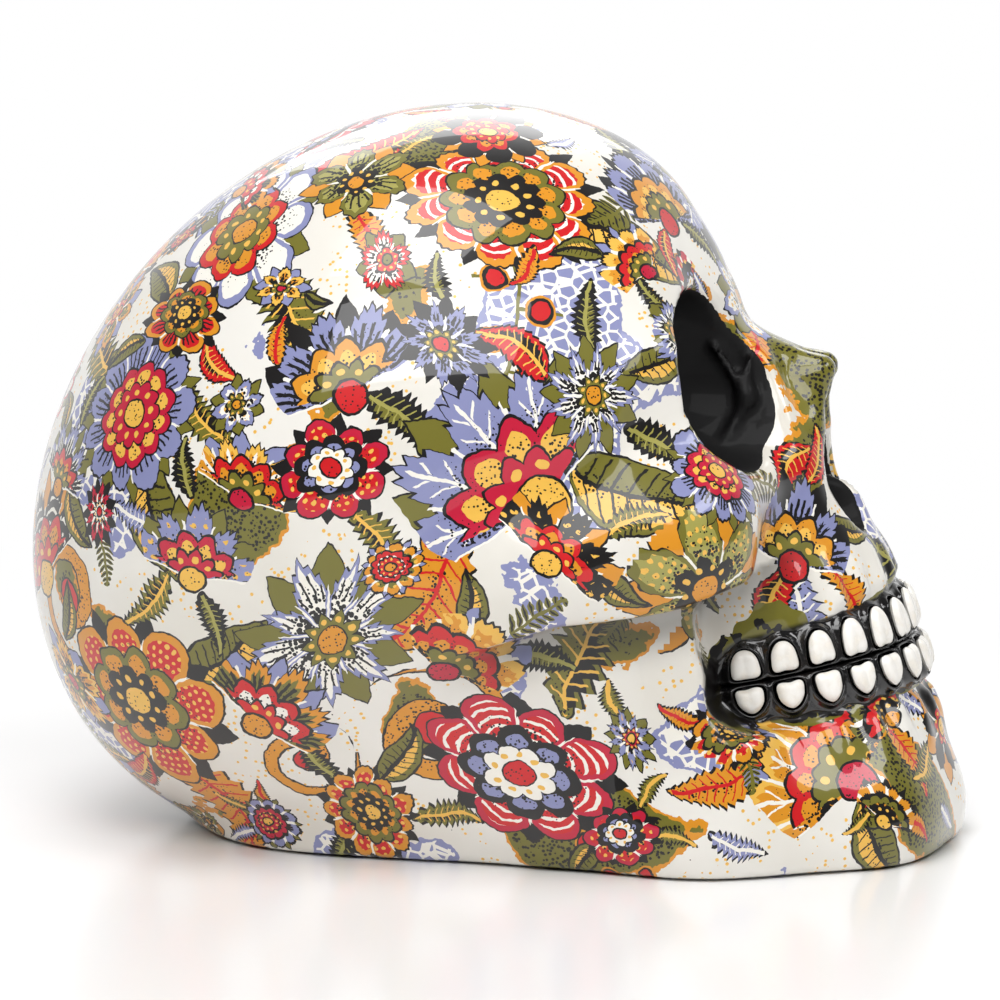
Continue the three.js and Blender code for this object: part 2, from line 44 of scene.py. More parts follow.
# Shader maths: a wire is an output socket, and sums on wires add Math nodes
class Wire:
    def __init__(self, tree, socket=None):
        self.tree = tree
        self.socket = socket

    # any node: its settings come first, then values or links for its sockets
    def node(self, kind, settings=None, sockets=None, out=0):
        made = self.tree.nodes.new(kind)
        for name, value in (settings or {}).items():
            setattr(made, name, value)
        for name, value in (sockets or {}).items():
            if isinstance(value, Wire):
                self.tree.links.new(value.socket, made.inputs[name])
            else:
                made.inputs[name].default_value = value
        return Wire(self.tree, made.outputs[out] if made.outputs else None)

    def maths(self, operation, *others):
        values = dict(enumerate((self, *others)))
        return self.node("ShaderNodeMath", {"operation": operation}, values)

    def reflected(self, operation, other):
        return self.node("ShaderNodeMath", {"operation": operation}, {0: other, 1: self})

    def vector(self, operation, *others, out=0):
        values = dict(enumerate((self, *others)))
        return self.node("ShaderNodeVectorMath", {"operation": operation}, values, out)

    def __add__(self, other):
        return self.maths("ADD", other)

    def __sub__(self, other):
        return self.maths("SUBTRACT", other)

    def __mul__(self, other):
        return self.maths("MULTIPLY", other)

    def __truediv__(self, other):
        return self.maths("DIVIDE", other)

    def __pow__(self, other):
        return self.maths("POWER", other)

    def __lt__(self, other):
        return self.maths("LESS_THAN", other)

    def __gt__(self, other):
        return self.maths("GREATER_THAN", other)

    def __rsub__(self, other):
        return self.reflected("SUBTRACT", other)

    def __rtruediv__(self, other):
        return self.reflected("DIVIDE", other)

    __radd__ = __add__
    __rmul__ = __mul__

    def size(self):
        return self.maths("ABSOLUTE")

    def root(self):
        return self.maths("SQRT")

    # distance from the middle of the nearest whole step, -0.5 to 0.5
    def phase(self):
        return (self + 0.5).maths("FRACT") - 0.5

    # 0 below the first value, 1 above the second, smooth between
    def rise(self, low, high):
        sockets = {0: self, 1: low, 2: high, 3: 0.0, 4: 1.0}
        return self.node("ShaderNodeMapRange", {"interpolation_type": "SMOOTHSTEP"}, sockets)

    # a colour between two, by this wire's share
    def between(self, first, second):
        return self.node("ShaderNodeMix", {"data_type": "RGBA"}, {0: self, 6: first, 7: second}, out=2)

    # this colour with another laid over it where the mask is 1
    def under(self, colour, mask):
        return mask.between(self, colour)

    def attribute(self, name, out="Fac"):
        return self.node("ShaderNodeAttribute", {"attribute_name": name}, out=out)

    def place(self):
        return self.node("ShaderNodeTexCoord", out="Object")

    def noise(self, scale, detail=2.0, roughness=0.5, out=0):
        sockets = {"Vector": self.place(), "Scale": scale, "Detail": detail, "Roughness": roughness}
        return self.node("ShaderNodeTexNoise", {}, sockets, out)

    # distance to the nearest middle of random cells, or to their edges, with their pitch in metres
    def cells(self, pitch, randomness=1.0, feature="F1"):
        sockets = {"Vector": self.place(), "Scale": 1 / pitch, "Randomness": randomness}
        return self.node("ShaderNodeTexVoronoi", {"feature": feature}, sockets, out="Distance")

    # a bump with this wire as its height, and its depth in millimetres
    def bump(self, strength, depth, **more):
        sockets = {"Strength": strength, "Distance": depth * mm, "Height": self, **more}
        return self.node("ShaderNodeBump", {}, sockets)


# sRGB 0 to 255 to a linear colour
def paint(red, green, blue):
    share = np.array((red, green, blue)) / 255
    linear = np.where(share <= 0.04045, share / 12.92, ((share + 0.055) / 1.055) ** 2.4)
    return (*map(float, linear), 1.0)


def newMaterial(name):
    material = bpy.data.materials.new(name)
    material.use_nodes = True
    material.node_tree.nodes.clear()
    return material, Wire(material.node_tree)


def finishMaterial(wire, sockets):
    shader = wire.node("ShaderNodeBsdfPrincipled", {}, sockets)
    wire.node("ShaderNodeOutputMaterial", {}, {"Surface": shader})


# Meshes: points in millimetres, and arrays of corner numbers with one row for each face
def newMesh(name, points, *faceSets):
    corners = np.concatenate([faces.ravel() for faces in faceSets])
    sizes = np.concatenate([np.full(len(faces), faces.shape[1]) for faces in faceSets])
    starts = np.concatenate(([0], np.cumsum(sizes)[:-1]))
    mesh = bpy.data.meshes.new(name)
    mesh.vertices.add(len(points))
    mesh.vertices.foreach_set("co", np.ravel(points * mm).astype(np.float32))
    mesh.loops.add(len(corners))
    mesh.loops.foreach_set("vertex_index", corners.astype(np.int32))
    mesh.polygons.add(len(sizes))
    mesh.polygons.foreach_set("loop_start", starts.astype(np.int32))
    mesh.polygons.foreach_set("use_smooth", np.ones(len(sizes), bool))
    mesh.update(calc_edges=True)
    return mesh


# quads over a grid of points with that many rows and columns, closed round where asked
def gridFaces(rows, columns, closedRows=False, closedColumns=False):
    row, column = np.meshgrid(
        np.arange(rows - (not closedRows)), np.arange(columns - (not closedColumns)), indexing="ij")
    nextRow, nextColumn = (row + 1) % rows, (column + 1) % columns
    corners = [row * columns + column, row * columns + nextColumn,
               nextRow * columns + nextColumn, nextRow * columns + column]
    return np.stack(corners, -1).reshape(-1, 4)


# triangles from one hub point to a closed ring of points
def fanFaces(hub, ring):
    return np.stack([np.full(len(ring), hub), ring, np.roll(ring, -1)], -1)


# turns every face round where the mesh encloses a negative volume
def facedOut(points, *faceSets):
    volume = 0
    for faces in faceSets:
        for step in range(1, faces.shape[1] - 1):
            a, b, c = points[faces[:, 0]], points[faces[:, step]], points[faces[:, step + 1]]
            volume += (a * np.cross(b, c)).sum()
    return faceSets if volume > 0 else [faces[:, ::-1] for faces in faceSets]


def newPiece(name, mesh, material, slotName, *nodes):
    piece = bpy.data.objects.new(name, mesh)
    scene.collection.objects.link(piece)
    mesh.materials.append(material)
    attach(piece, "root")
    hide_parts(*nodes)
    return piece


def setAttribute(mesh, name, kind, domain, values):
    key = {"FLOAT": "value", "FLOAT_VECTOR": "vector", "FLOAT_COLOR": "color"}[kind]
    layer = mesh.attributes.new(name, kind, domain)
    layer.data.foreach_set(key, np.ravel(values).astype(np.float32))


def smoothStep(low, high, value):
    share = np.clip((value - low) / (high - low), 0, 1)
    return share * share * (3 - 2 * share)


# Skull form, in millimetres for the left half (+X): the face looks along -Y, pitch lifts the front.
# Lumps have a centre and half sizes, bars a start and an end, and hollows are taken out.
skull = {
    "cell": 1.21,
    "low": (0, -104, -2),
    "high": (72, 104, 158),
    "bottom": 0.4,
    "bottomBlend": 1.6,
    "rim": 4.5,
    "seatTop": 4.8,
    "cranium": {"centre": (0, 21.6, 75), "half": (69.5, 87.3, 70.5), "pitch": 46},
    "forms": {
        "upperFace": {"centre": (0, -6, 92), "half": (53.5, 38.5, 42), "square": 8, "blend": 12},
        "neck": {"centre": (0, -4, 16), "half": (47, 60, 44), "blend": 18},
        "rearBase": {"centre": (0, 20, 0), "half": (41.5, 42, 26), "square": 2.6, "blend": 4},
        "glabella": {"centre": (0, -40, 114), "half": (18, 10.5, 11), "blend": 9},
        "orbitPillar": {"start": (45, -36.5, 106), "end": (47, -38.5, 84), "radii": (4, 5.5), "blend": 7},
        "pillarFacet": {"centre": (102, -71, 95), "half": (60.4, 60.4, 60.4), "blend": 0.7, "hollow": True},
        "cheekbone": {"centre": (43, -43, 70), "half": (16, 15, 14), "pitch": 10, "blend": 14},
        "archFront": {"start": (50.5, -38, 65), "end": (53.5, -12, 60.5), "radii": (8.5, 8), "blend": 18},
        "archBack": {"start": (53.5, -12, 60.5), "end": (56, 10, 56), "radii": (8, 7), "blend": 18},
        "orbitFloor": {"start": (40, -50, 76), "end": (17, -59, 79), "radii": (6, 6), "blend": 8},
        "noseSide": {"start": (5, -48, 110), "end": (12, -61, 82), "radii": (5.5, 7.5), "blend": 7},
        "noseBridge": {"start": (0, -45, 108), "end": (0, -58.5, 101.2), "radii": (6, 4.4), "blend": 6},
        "nasalTip": {"start": (0, -56, 102.6), "end": (3.4, -68.8, 100.3), "radii": (3.6, 2.1), "blend": 4},
        "nasalFloor": {"start": (0, -71, 71.5), "end": (4, -68, 71), "radii": (3.4, 3.4), "blend": 4},
        "noseWall": {"start": (4.6, -64, 98), "end": (6.8, -62.4, 89), "radii": (2.2, 2.4), "blend": 3},
        "noseRim": {"start": (4.2, -68.3, 98.4), "end": (7.6, -65.4, 86), "radii": (2.6, 3.3), "blend": 4},
        "noseWing": {"start": (7.6, -65.4, 86), "end": (13, -63.5, 73), "radii": (3.4, 5), "blend": 5},
        "ramus": {"centre": (34, -33, 30), "half": (16.5, 26, 42), "pitch": 14, "square": 5, "blend": 14},
        "underArch": {"wall": 49.5, "flare": 0.36, "flareFrom": -36, "ledge": 4, "blend": 1.1,
                      "hollow": True},
        "chin": {"start": (0, -81, 7), "end": (20, -72.5, 7), "radii": (19, 18.5), "blend": 10},
        "jawBody": {"start": (20, -72.5, 7), "end": (35.5, -47, 6), "radii": (18.5, 17.5), "blend": 16},
        "lowerFace": {"centre": (0, -54, 24), "half": (37, 39.5, 20), "blend": 8},
        "maxilla": {"centre": (0, -51, 49), "half": (32, 33.6, 33), "blend": 9},
        "cheekHollow": {"centre": (0, -67.5, 53.5), "half": (400, 21.5, 24.5), "wall": 29, "flare": 0.1,
                        "flareFrom": -90, "ledge": 4, "blend": 1.2, "hollow": True},
    },
    # the forehead is set back between two heights, fully between the middle two, and fading to the sides
    "forehead": {"back": 4.7, "heights": (101, 111, 118, 150), "front": (0, -34), "side": (40, 16)},
    # ledge under the cheekbone: its height, which sinks towards the back and bends up at the front
    "ledge": {"level": 53.4, "from": -20, "sink": 0.33, "bend": 0.0055},
    "orbit": {"centre": (31.5, -55, 100.9), "half": (18.7, 27, 19.3), "pitch": 6, "yaw": 22},
    "orbitTop": {"centre": (22.5, -50, 108.5), "half": (8.4, 15, 8.4)},
    "orbitRound": 6,
    "orbitBlend": 2.4,
    # folds on the nose side of the socket
    "folds": [
        {"start": (13, -47, 105), "end": (14.2, -54, 94.5), "radii": (0.6, 1.2)},
        {"start": (14.2, -54, 94.5), "end": (17.4, -50.2, 86.5), "radii": (1.2, 0.6)},
        {"start": (13.6, -54, 103), "end": (14.2, -54, 94.5), "radii": (0.5, 1.2)},
    ],
    "foldBlend": 2.4,
    "nostril": {"centre": (6, -76, 76), "half": (4.6, 13.5, 10)},
    "nosePeak": {"centre": (0.6, -74, 88.5), "half": (4.2, 27, 10.8)},
    "noseRound": 4,
    "noseBlend": 2.4,
}

# Mouth: a half ring of gums and teeth round a centre, pitched up at the front, narrower upwards
mouth = {
    "centre": (0, -54.4, 37.5),
    "pitch": 10.5,
    "radius": 35.2,
    "lean": 8,
    "proud": 0.8,
    "thickness": 8,
    "endMargin": 6,
    "upperGum": (11, 7.8),
    "lowerGum": (10.2, 7.6),
    "drumBlend": 5,
    "drumEdge": 8,
    "drumBack": 8,
    "teethPerSide": 7,
    "toothWidth": 6.4,
    "toothGap": 2.25,
    "biteGap": 1.7,
    "upperTooth": (9.6, 5.5),
    "lowerTooth": (7.9, 5.1),
    "recessInset": 1.2,
    "recessEnd": 0.05,
    "apron": 1.2,
    "apronEnd": 0.03,
    "apronRound": 12,
    "apronEdge": 2,
    "apronBlend": 2.2,
    "flush": 0.15,
    "rootRelief": 1.2,
    "rootSide": (1.4, 1.0),
    "rootRise": (0, 3.5),
    "rootFall": (15, 4),
}
# Gums: a collar stands round each tooth, and the outer edge laps over the skin in scallops
gum = {
    "endRound": math.radians(14),
    "endLeast": 0.002,
    "columns": 430,
    "rows": 46,
    "collar": 0.75,
    "collarWidth": 0.6,
    "collarAway": 0.75,
    "pocket": 2.6,
    "scallop": 0.8,
    "lap": 0.3,
    "lapWidth": 2.2,
    "lapRise": (0, 0.5),
    "lapFrom": (0.2, 0.5),
    "tuck": 0.3,
    "valley": 0.35,
    "valleyAway": (1.6, 2.6),
    "pocketAway": (0.25, -0.2),
    "biteRound": 1.3,
    "backDepth": 3.5,
    "fit": 0.15,
}
# Teeth: outlines are superellipses, squarer at the bite than at the gum, tapered towards the gum
toothForm = {
    "around": 56,
    "capRows": 9,
    "sideRows": 6,
    "proud": 2,
    "seat": 2.5,
    "squareBite": 4.2,
    "upper": {"squareGum": 2.2, "taper": 0.24, "notch": 0.07},
    "lower": {"squareGum": 1.75, "taper": 0.22, "notch": 0.10},
    "vary": 0.045,
    "notchVary": (0.3, 1.4),
    "notchWidth": 0.42,
    "notchRise": (-0.5, -0.9),
    "cleft": (-0.3, 0.3),
    "sideScale": (0.9, 0.98),
    "capEnd": 0.94,
    "shoulder": 0.45,
    "dome": 0.6,
    "domePower": 5,
    "groove": 0.16,
    "grooveWidth": 0.7,
    "grooveFrom": 0.8,
}
mouthTurn = math.radians(mouth["pitch"])
leanRate = math.tan(math.radians(mouth["lean"]))
toothPitch = (mouth["toothWidth"] + mouth["toothGap"]) / (mouth["radius"] + toothForm["proud"])
gumEnd = mouth["teethPerSide"] * toothPitch + math.radians(mouth["endMargin"])


# a place in a form's own axes: from its centre, turned back by its yaw and pitch
def inForm(x, y, z, form):
    x, y, z = (axis - middle for axis, middle in zip((x, y, z), form["centre"]))
    yaw, pitch = math.radians(form.get("yaw", 0)), math.radians(form.get("pitch", 0))
    x, y = x * math.cos(yaw) + y * math.sin(yaw), y * math.cos(yaw) - x * math.sin(yaw)
    return x, y * math.cos(pitch) - z * math.sin(pitch), y * math.sin(pitch) + z * math.cos(pitch)


# Ellipsoid: with the place divided by the half sizes once (k) and twice (g), distance = |k| (|k| - 1) / |g|
def lumpDistance(x, y, z, form):
    x, y, z = inForm(x, y, z, form)
    a, b, c = form["half"]
    once = np.sqrt((x / a) ** 2 + (y / b) ** 2 + (z / c) ** 2) + 1e-6
    twice = np.sqrt((x / a ** 2) ** 2 + (y / b ** 2) ** 2 + (z / c ** 2) ** 2) + 1e-9
    return once * (once - 1) / twice


# Round-ended bar: distance to the segment less a radius that runs evenly from end to end
def barDistance(x, y, z, form):
    start, run = np.array(form["start"]), np.subtract(form["end"], form["start"])
    x, y, z = x - start[0], y - start[1], z - start[2]
    along = np.clip((x * run[0] + y * run[1] + z * run[2]) / (run @ run), 0, 1)
    off = np.sqrt((x - along * run[0]) ** 2 + (y - along * run[1]) ** 2 + (z - along * run[2]) ** 2)
    return off - form["radii"][0] - (form["radii"][1] - form["radii"][0]) * along


# Block: a superellipse in plan, an ellipse in height
def blockDistance(x, y, z, form):
    x, y, z = (np.abs(axis) / half for axis, half in zip(inForm(x, y, z, form), form["half"]))
    plan = (x ** form["square"] + y ** form["square"] + 1e-9) ** (1 / form["square"])
    return (np.sqrt(plan * plan + z * z) - 1) * min(form["half"])


# height of the cheek ledge's lower edge: it sinks evenly to the back and rises on a parabola to the front
def ledgeHeight(y):
    ledge = skull["ledge"]
    back = y - ledge["from"]
    return ledge["level"] - ledge["sink"] * np.maximum(back, 0) + ledge["bend"] * np.minimum(back, 0) ** 2


# wall under the ledge, which flares to the back
def ledgeWall(y, form):
    return form["wall"] + form["flare"] * np.maximum(y - form["flareFrom"], 0)


# Room under the cheek ledge: below the ledge's height, outside the wall, within any lump
def ledgeDistance(x, y, z, form):
    room = joined(ledgeHeight(y) - z, x - ledgeWall(y, form), form["ledge"])
    return -joined(room, -lumpDistance(x, y, z, form), form["ledge"]) if "half" in form else -room


def formDistance(x, y, z, form):
    if "ledge" in form:
        return ledgeDistance(x, y, z, form)
    if "start" in form:
        return barDistance(x, y, z, form)
    return blockDistance(x, y, z, form) if "square" in form else lumpDistance(x, y, z, form)


# the lesser of two distances, with a round of that width where they are alike
def joined(a, b, blend):
    share = np.maximum(blend - np.abs(a - b), 0) / blend
    return np.minimum(a, b) - share * share * blend / 4


def cutBy(a, b, blend):
    return -joined(-a, b, blend)


# a place in the mouth's frame: turn round the arch (0 at the front), radius and height
def inMouth(x, y, z):
    y, z = y - mouth["centre"][1], z - mouth["centre"][2]
    forward = y * math.cos(mouthTurn) - z * math.sin(mouthTurn)
    height = y * math.sin(mouthTurn) + z * math.cos(mouthTurn)
    return np.arctan2(x, -forward), np.hypot(x, forward), height, forward


# a place in the skull's frame from one across, forward and up in the mouth's
def outOfMouth(x, forward, height):
    y = forward * math.cos(mouthTurn) + height * math.sin(mouthTurn)
    z = height * math.cos(mouthTurn) - forward * math.sin(mouthTurn)
    return np.stack([x, y + mouth["centre"][1], z + mouth["centre"][2]], -1)


def fromMouth(turn, radius, height):
    return outOfMouth(np.sin(turn) * radius, -np.cos(turn) * radius, height)


def gumRadius(height):
    return mouth["radius"] - height * leanRate


# a size that runs from front to back along the arch
def alongArch(ends, turn):
    return ends[0] + (ends[1] - ends[0]) * np.abs(turn) / gumEnd


# Skin before the sockets are cut: the cranium, with each form blended in or taken out in turn
def plainSkin(x, y, z):
    x = np.abs(x)
    low, lowFull, highFull, high = skull["forehead"]["heights"]
    setBack = skull["forehead"]["back"] * smoothStep(low, lowFull, z) * smoothStep(high, highFull, z)
    y = y - setBack * smoothStep(*skull["forehead"]["front"], y) * smoothStep(*skull["forehead"]["side"], x)
    distance = lumpDistance(x, y, z, skull["cranium"])
    for form in skull["forms"].values():
        other = formDistance(x, y, z, form)
        mix = cutBy if form.get("hollow") else joined
        distance = mix(distance, other, form["blend"])
    turn, radius, height, forward = inMouth(x, y, z)
    side = radius - gumRadius(height) + mouth["proud"]
    ends = np.maximum(height - mouth["upperGum"][0], -height - mouth["lowerGum"][0])
    drum = -joined(-side, -ends, mouth["drumEdge"])
    drum = -joined(-drum, mouth["drumBack"] - forward, mouth["drumEdge"])
    distance = joined(distance, drum, mouth["drumBlend"])
    # room round the gums, so that the skin beside them lies no further out than they do
    pastUpper = height - alongArch(mouth["upperGum"], turn)
    past = np.maximum(pastUpper, -height - alongArch(mouth["lowerGum"], turn))
    apron = -joined(mouth["apron"] - past, (gumEnd - mouth["apronEnd"] - turn) * radius, mouth["apronRound"])
    apron = -joined(-apron, radius - gumRadius(height) + mouth["flush"], mouth["apronEdge"])
    distance = cutBy(distance, apron, mouth["apronBlend"])
    # a low swelling above or below each tooth, where its root lies
    swelling = (0.5 - 0.5 * np.cos(2 * math.pi * turn / toothPitch)) * smoothStep(*mouth["rootSide"], turn)
    rise, fall = smoothStep(*mouth["rootRise"], past), smoothStep(*mouth["rootFall"], past)
    return distance - mouth["rootRelief"] * swelling * rise * fall


# Eye socket: an ellipsoid with a lesser one blended in at its upper inner corner
def socketDistance(x, y, z):
    socket, top = (lumpDistance(np.abs(x), y, z, skull[name]) for name in ("orbit", "orbitTop"))
    return joined(socket, top, skull["orbitRound"])


def noseDistance(x, y, z):
    nostril, peak = (lumpDistance(np.abs(x), y, z, skull[name]) for name in ("nostril", "nosePeak"))
    return joined(nostril, peak, skull["noseRound"])


# Finished skin: sockets, nose and gum recess cut out, flat below, with a seat for the closing plate
def skinDistance(x, y, z):
    plain = plainSkin(x, y, z)
    distance = cutBy(plain, socketDistance(x, y, z), skull["orbitBlend"])
    for fold in skull["folds"]:
        distance = joined(distance, barDistance(np.abs(x), y, z, fold), skull["foldBlend"])
    distance = cutBy(distance, noseDistance(x, y, z), skull["noseBlend"])
    turn, radius, height, _ = inMouth(x, y, z)
    top = gumBorder(turn, "upper") - mouth["recessInset"]
    low = mouth["recessInset"] - gumBorder(turn, "lower")
    recess = np.maximum(np.maximum(height - top, low - height),
                        gumRadius(height) - mouth["thickness"] - radius)
    recess = np.maximum(recess, (np.abs(turn) - gumEnd + mouth["recessEnd"]) * radius)
    distance = np.maximum(distance, -recess)
    distance = cutBy(distance, z - skull["bottom"], skull["bottomBlend"])
    return np.maximum(distance, -np.maximum(plain + skull["rim"], z - skull["seatTop"]))


# Surface net: one point in each crossed cell, moved on to the surface, and one quad round each crossed edge
def surfaceNet(field, low, high, cell):
    axes = [np.arange(low[i], high[i] + cell, cell) for i in range(3)]
    values = field(*np.meshgrid(*(axis.astype(np.float32) for axis in axes), indexing="ij"))
    values = np.concatenate([values[:0:-1], values])  # the right half mirrors the left
    axes[0] = np.concatenate([-axes[0][:0:-1], axes[0]])
    inside = values < 0
    shifts = [(i, j, k) for i in (0, 1) for j in (0, 1) for k in (0, 1)]
    size = [count - 1 for count in values.shape]

    def cornerOf(grid, shift):
        return grid[tuple(slice(s, s + n) for s, n in zip(shift, size))]

    count = sum(cornerOf(inside, shift).astype(np.int8) for shift in shifts)
    cells = np.argwhere((count > 0) & (count < 8))
    number = np.full(size, -1, np.int64)
    number[tuple(cells.T)] = np.arange(len(cells))
    corners = {shift: values[tuple((cells + shift).T)] for shift in shifts}
    total, crossings = np.zeros((len(cells), 3)), np.zeros(len(cells))
    for a in shifts:
        for axis in range(3):
            if a[axis] == 0:
                b = tuple(s + (i == axis) for i, s in enumerate(a))
                crossed = (corners[a] < 0) != (corners[b] < 0)
                share = corners[a] / np.where(crossed, corners[a] - corners[b], 1)
                place = np.array(a, float)[None].repeat(len(cells), 0)
                place[:, axis] += share
                total += place * crossed[:, None]
                crossings += crossed
    points = np.stack([axes[i][cells[:, i]] for i in range(3)], -1) + total / crossings[:, None] * cell
    step, rounds, leastSlope = 0.02, 3, 0.2
    for _ in range(rounds):  # Newton's step along the slope
        near = field(*points.T)
        slope = np.stack([field(*(points + step * np.eye(3)[i]).T) - near for i in range(3)], -1) / step
        move = -near[:, None] * slope / np.maximum((slope ** 2).sum(-1, keepdims=True), leastSlope)
        points += np.clip(move, -cell / 2, cell / 2)
    quads = []
    for axis in range(3):
        ahead, u, v = (np.eye(3, dtype=int)[(axis + i) % 3] for i in range(3))
        first = inside[tuple(slice(0, n - a) for n, a in zip(inside.shape, ahead))]
        second = inside[tuple(slice(a, None) for a in ahead)]
        edges = np.argwhere(first != second)
        around = np.stack([number[tuple((edges - shift).T)] for shift in (u + v, v, 0 * u, u)], -1)
        flip = ~first[tuple(edges.T)]
        around[flip] = around[flip][:, ::-1]
        quads.append(around)
    return points, np.concatenate(quads)


# Gum border, as a height in the mouth's frame: the arch's own height, rounded off at the ends
def gumBorder(turn, jaw):
    share = np.clip((np.abs(turn) - gumEnd + gum["endRound"]) / gum["endRound"], 0, 1)
    return alongArch(mouth[jaw + "Gum"], turn) * np.sqrt(np.maximum(1 - share * share, gum["endLeast"]))


skinPoints, skinQuads = surfaceNet(skinDistance, skull["low"], skull["high"], skull["cell"])
skinMesh = newMesh("skull_skin", skinPoints, skinQuads)
print("skin has", len(skinQuads), "quads, from", skinPoints.min(0).round(1), "to", skinPoints.max(0).round(1))

# Print: discs scattered over the skin in four layers, from the ground up large leaves, large flowers, small
# leaves and small flowers. Colours are sRGB.
inks = {
    "ground": paint(234, 231, 224),
    "ochre": paint(217, 144, 32),
    "gold": paint(235, 184, 78),
    "red": paint(203, 22, 28),
    "crimson": paint(192, 22, 56),
    "olive": paint(114, 109, 38),
    "sage": paint(160, 154, 78),
    "lavender": paint(136, 140, 182),
    "black": paint(17, 14, 14),
    "cream": paint(242, 238, 228),
}
# Flowers and leaves are tried at falling sizes, then the widest holes are filled down to a least one
printing = {
    "seed": 21,
    "gap": 0.6,
    "margin": 1,
    "gumReach": 42,
    "bottom": 2,
    "underside": {"below": 12, "facing": -0.9},
    "sampling": 9,
    "sameWay": 0.45,
    "anyTurn": (0, 6.28),
    "fanLean": (-0.8, 0.8),
    "squash": (0.68, 1.0),
    "flowerEven": 0.91,
    "flowerHoleEven": 0.85,
    "flowerRoom": 0.95,
    "leafEven": 0.88,
    "leafHoleEven": 0.8,
    "leafRoom": 1.15,
    "leafOut": 0.45,
    # shares of a disc's own radius and of the other discs' radii that stay clear of each other
    "flowerOff": (0.25, 0.72),
    "leafApart": (0.9, 0.85),
    "leafOff": (0.4, 0.62),
    "large": {
        "flowers": (23, 20, 17.5, 15), "flowerTries": (220, 280, 340, 420), "flowerHole": 13,
        "fills": (3, 0, 2, 1), "firstStyle": 0, "around": 7, "leafSizes": (0.55, 0.85),
        "leaves": (24, 20, 16, 12.5, 9.5), "leafTries": (400, 500, 600, 700, 700), "leafHole": 6.5,
        "kinds": (0, 2, 3), "covered": 0.1},
    "small": {
        "flowers": (13.5, 11.5, 9.5, 7.5), "flowerTries": (190, 210, 230, 220), "flowerHole": 8.5,
        "fills": (1, 0), "firstStyle": 3, "around": 6, "leafSizes": (0.5, 0.75),
        "leaves": (9, 7.5, 6, 5), "leafTries": (260, 340, 420, 500), "leafHole": 4.5,
        "kinds": (0, 1), "covered": 0.2},
}
# petals, how many of them show, the power and depth of their edge, fringe, fan, and 1 with a middle ring
flowerStyles = [
    {"petals": 8, "shown": 9, "point": 2.2, "depth": 0.24, "fringe": 0.0, "fan": 0, "ringed": 1},
    {"petals": 5, "shown": 6, "point": 2.0, "depth": 0.30, "fringe": 0.13, "fan": 0, "ringed": 0},
    {"petals": 13, "shown": 6, "point": 2.0, "depth": 0.14, "fringe": 0.04, "fan": 1, "ringed": 1},
    {"petals": 11, "shown": 12, "point": 2.0, "depth": 0.18, "fringe": 0.02, "fan": 0, "ringed": 1},
    {"petals": 11, "shown": 5, "point": 1.5, "depth": 0.26, "fringe": 0.08, "fan": 1, "ringed": 1},
    {"petals": 6, "shown": 9, "point": 1.5, "depth": 0.44, "fringe": 0.05, "fan": 0, "ringed": 0},
    {"petals": 9, "shown": 10, "point": 1.0, "depth": 0.40, "fringe": 0.10, "fan": 0, "ringed": 0},
]
# sepal, outer edge, outer tone, middle edge, middle tone, inner ring and core
flowerInks = [
    ("olive", "lavender", "cream", "red", "ochre", "olive", "ochre"),
    ("black", "ochre", "red", "olive", "ochre", "black", "gold"),
    ("olive", "lavender", "lavender", "crimson", "gold", "crimson", "gold"),
    ("black", "crimson", "red", "black", "lavender", "cream", "red"),
    ("lavender", "ochre", "olive", "red", "cream", "red", "ochre"),
    ("ochre", "black", "black", "red", "ochre", "red", "gold"),
    ("olive", "red", "cream", "lavender", "olive", "red", "olive"),
    ("black", "lavender", "lavender", "ochre", "gold", "olive", "red"),
    ("ochre", "olive", "sage", "red", "gold", "black", "ochre"),
    ("lavender", "gold", "ochre", "red", "ochre", "olive", "crimson"),
]
# kind 0 leaf, 1 fern, 2 sprig, 3 curl
leafStyles = [
    {"kind": 0, "bend": 0.25, "saw": 0.0, "blade": "olive", "vein": "black", "fruit": "gold"},
    {"kind": 0, "bend": -0.2, "saw": 0.35, "blade": "black", "vein": "sage", "fruit": "olive"},
    {"kind": 3, "bend": 0.0, "saw": 0.0, "blade": "ochre", "vein": "gold", "fruit": "red"},
    {"kind": 0, "bend": 0.15, "saw": 0.45, "blade": "lavender", "vein": "cream", "fruit": "lavender"},
    {"kind": 2, "bend": 0.25, "saw": 0.0, "blade": "olive", "vein": "gold", "fruit": "red"},
    {"kind": 0, "bend": -0.3, "saw": 0.25, "blade": "ochre", "vein": "red", "fruit": "ochre"},
    {"kind": 1, "bend": -0.2, "saw": 0.0, "blade": "olive", "vein": "black", "fruit": "red"},
    {"kind": 0, "bend": 0.3, "saw": 0.15, "blade": "red", "vein": "gold", "fruit": "black"},
    {"kind": 0, "bend": -0.25, "saw": 0.4, "blade": "olive", "vein": "gold", "fruit": "black"},
]
rng = np.random.default_rng(printing["seed"])
quadCorners = skinPoints[skinQuads]
faceMiddle = quadCorners.mean(1)
faceNormal = np.cross(quadCorners[:, 2] - quadCorners[:, 0], quadCorners[:, 3] - quadCorners[:, 1])
faceNormal /= np.linalg.norm(faceNormal, axis=1, keepdims=True) + 1e-12
turn, radius, height, _ = inMouth(*faceMiddle.T)
margin, faceHeight = printing["margin"], faceMiddle[:, 2]
inGums = (height < gumBorder(turn, "upper") + margin) & (height > -gumBorder(turn, "lower") - margin)
inGums &= (np.abs(turn) < gumEnd) & (radius < printing["gumReach"])
bare = (socketDistance(*faceMiddle.T) < margin) | (noseDistance(*faceMiddle.T) < margin) | inGums
underside = printing["underside"]
bare |= (faceHeight < underside["below"]) & (faceNormal[:, 2] < underside["facing"])
bare |= faceHeight < printing["bottom"]
openFaces = np.flatnonzero(~bare)
sampleMiddle, sampleNormal = (values[::printing["sampling"]] for values in (faceMiddle, faceNormal))


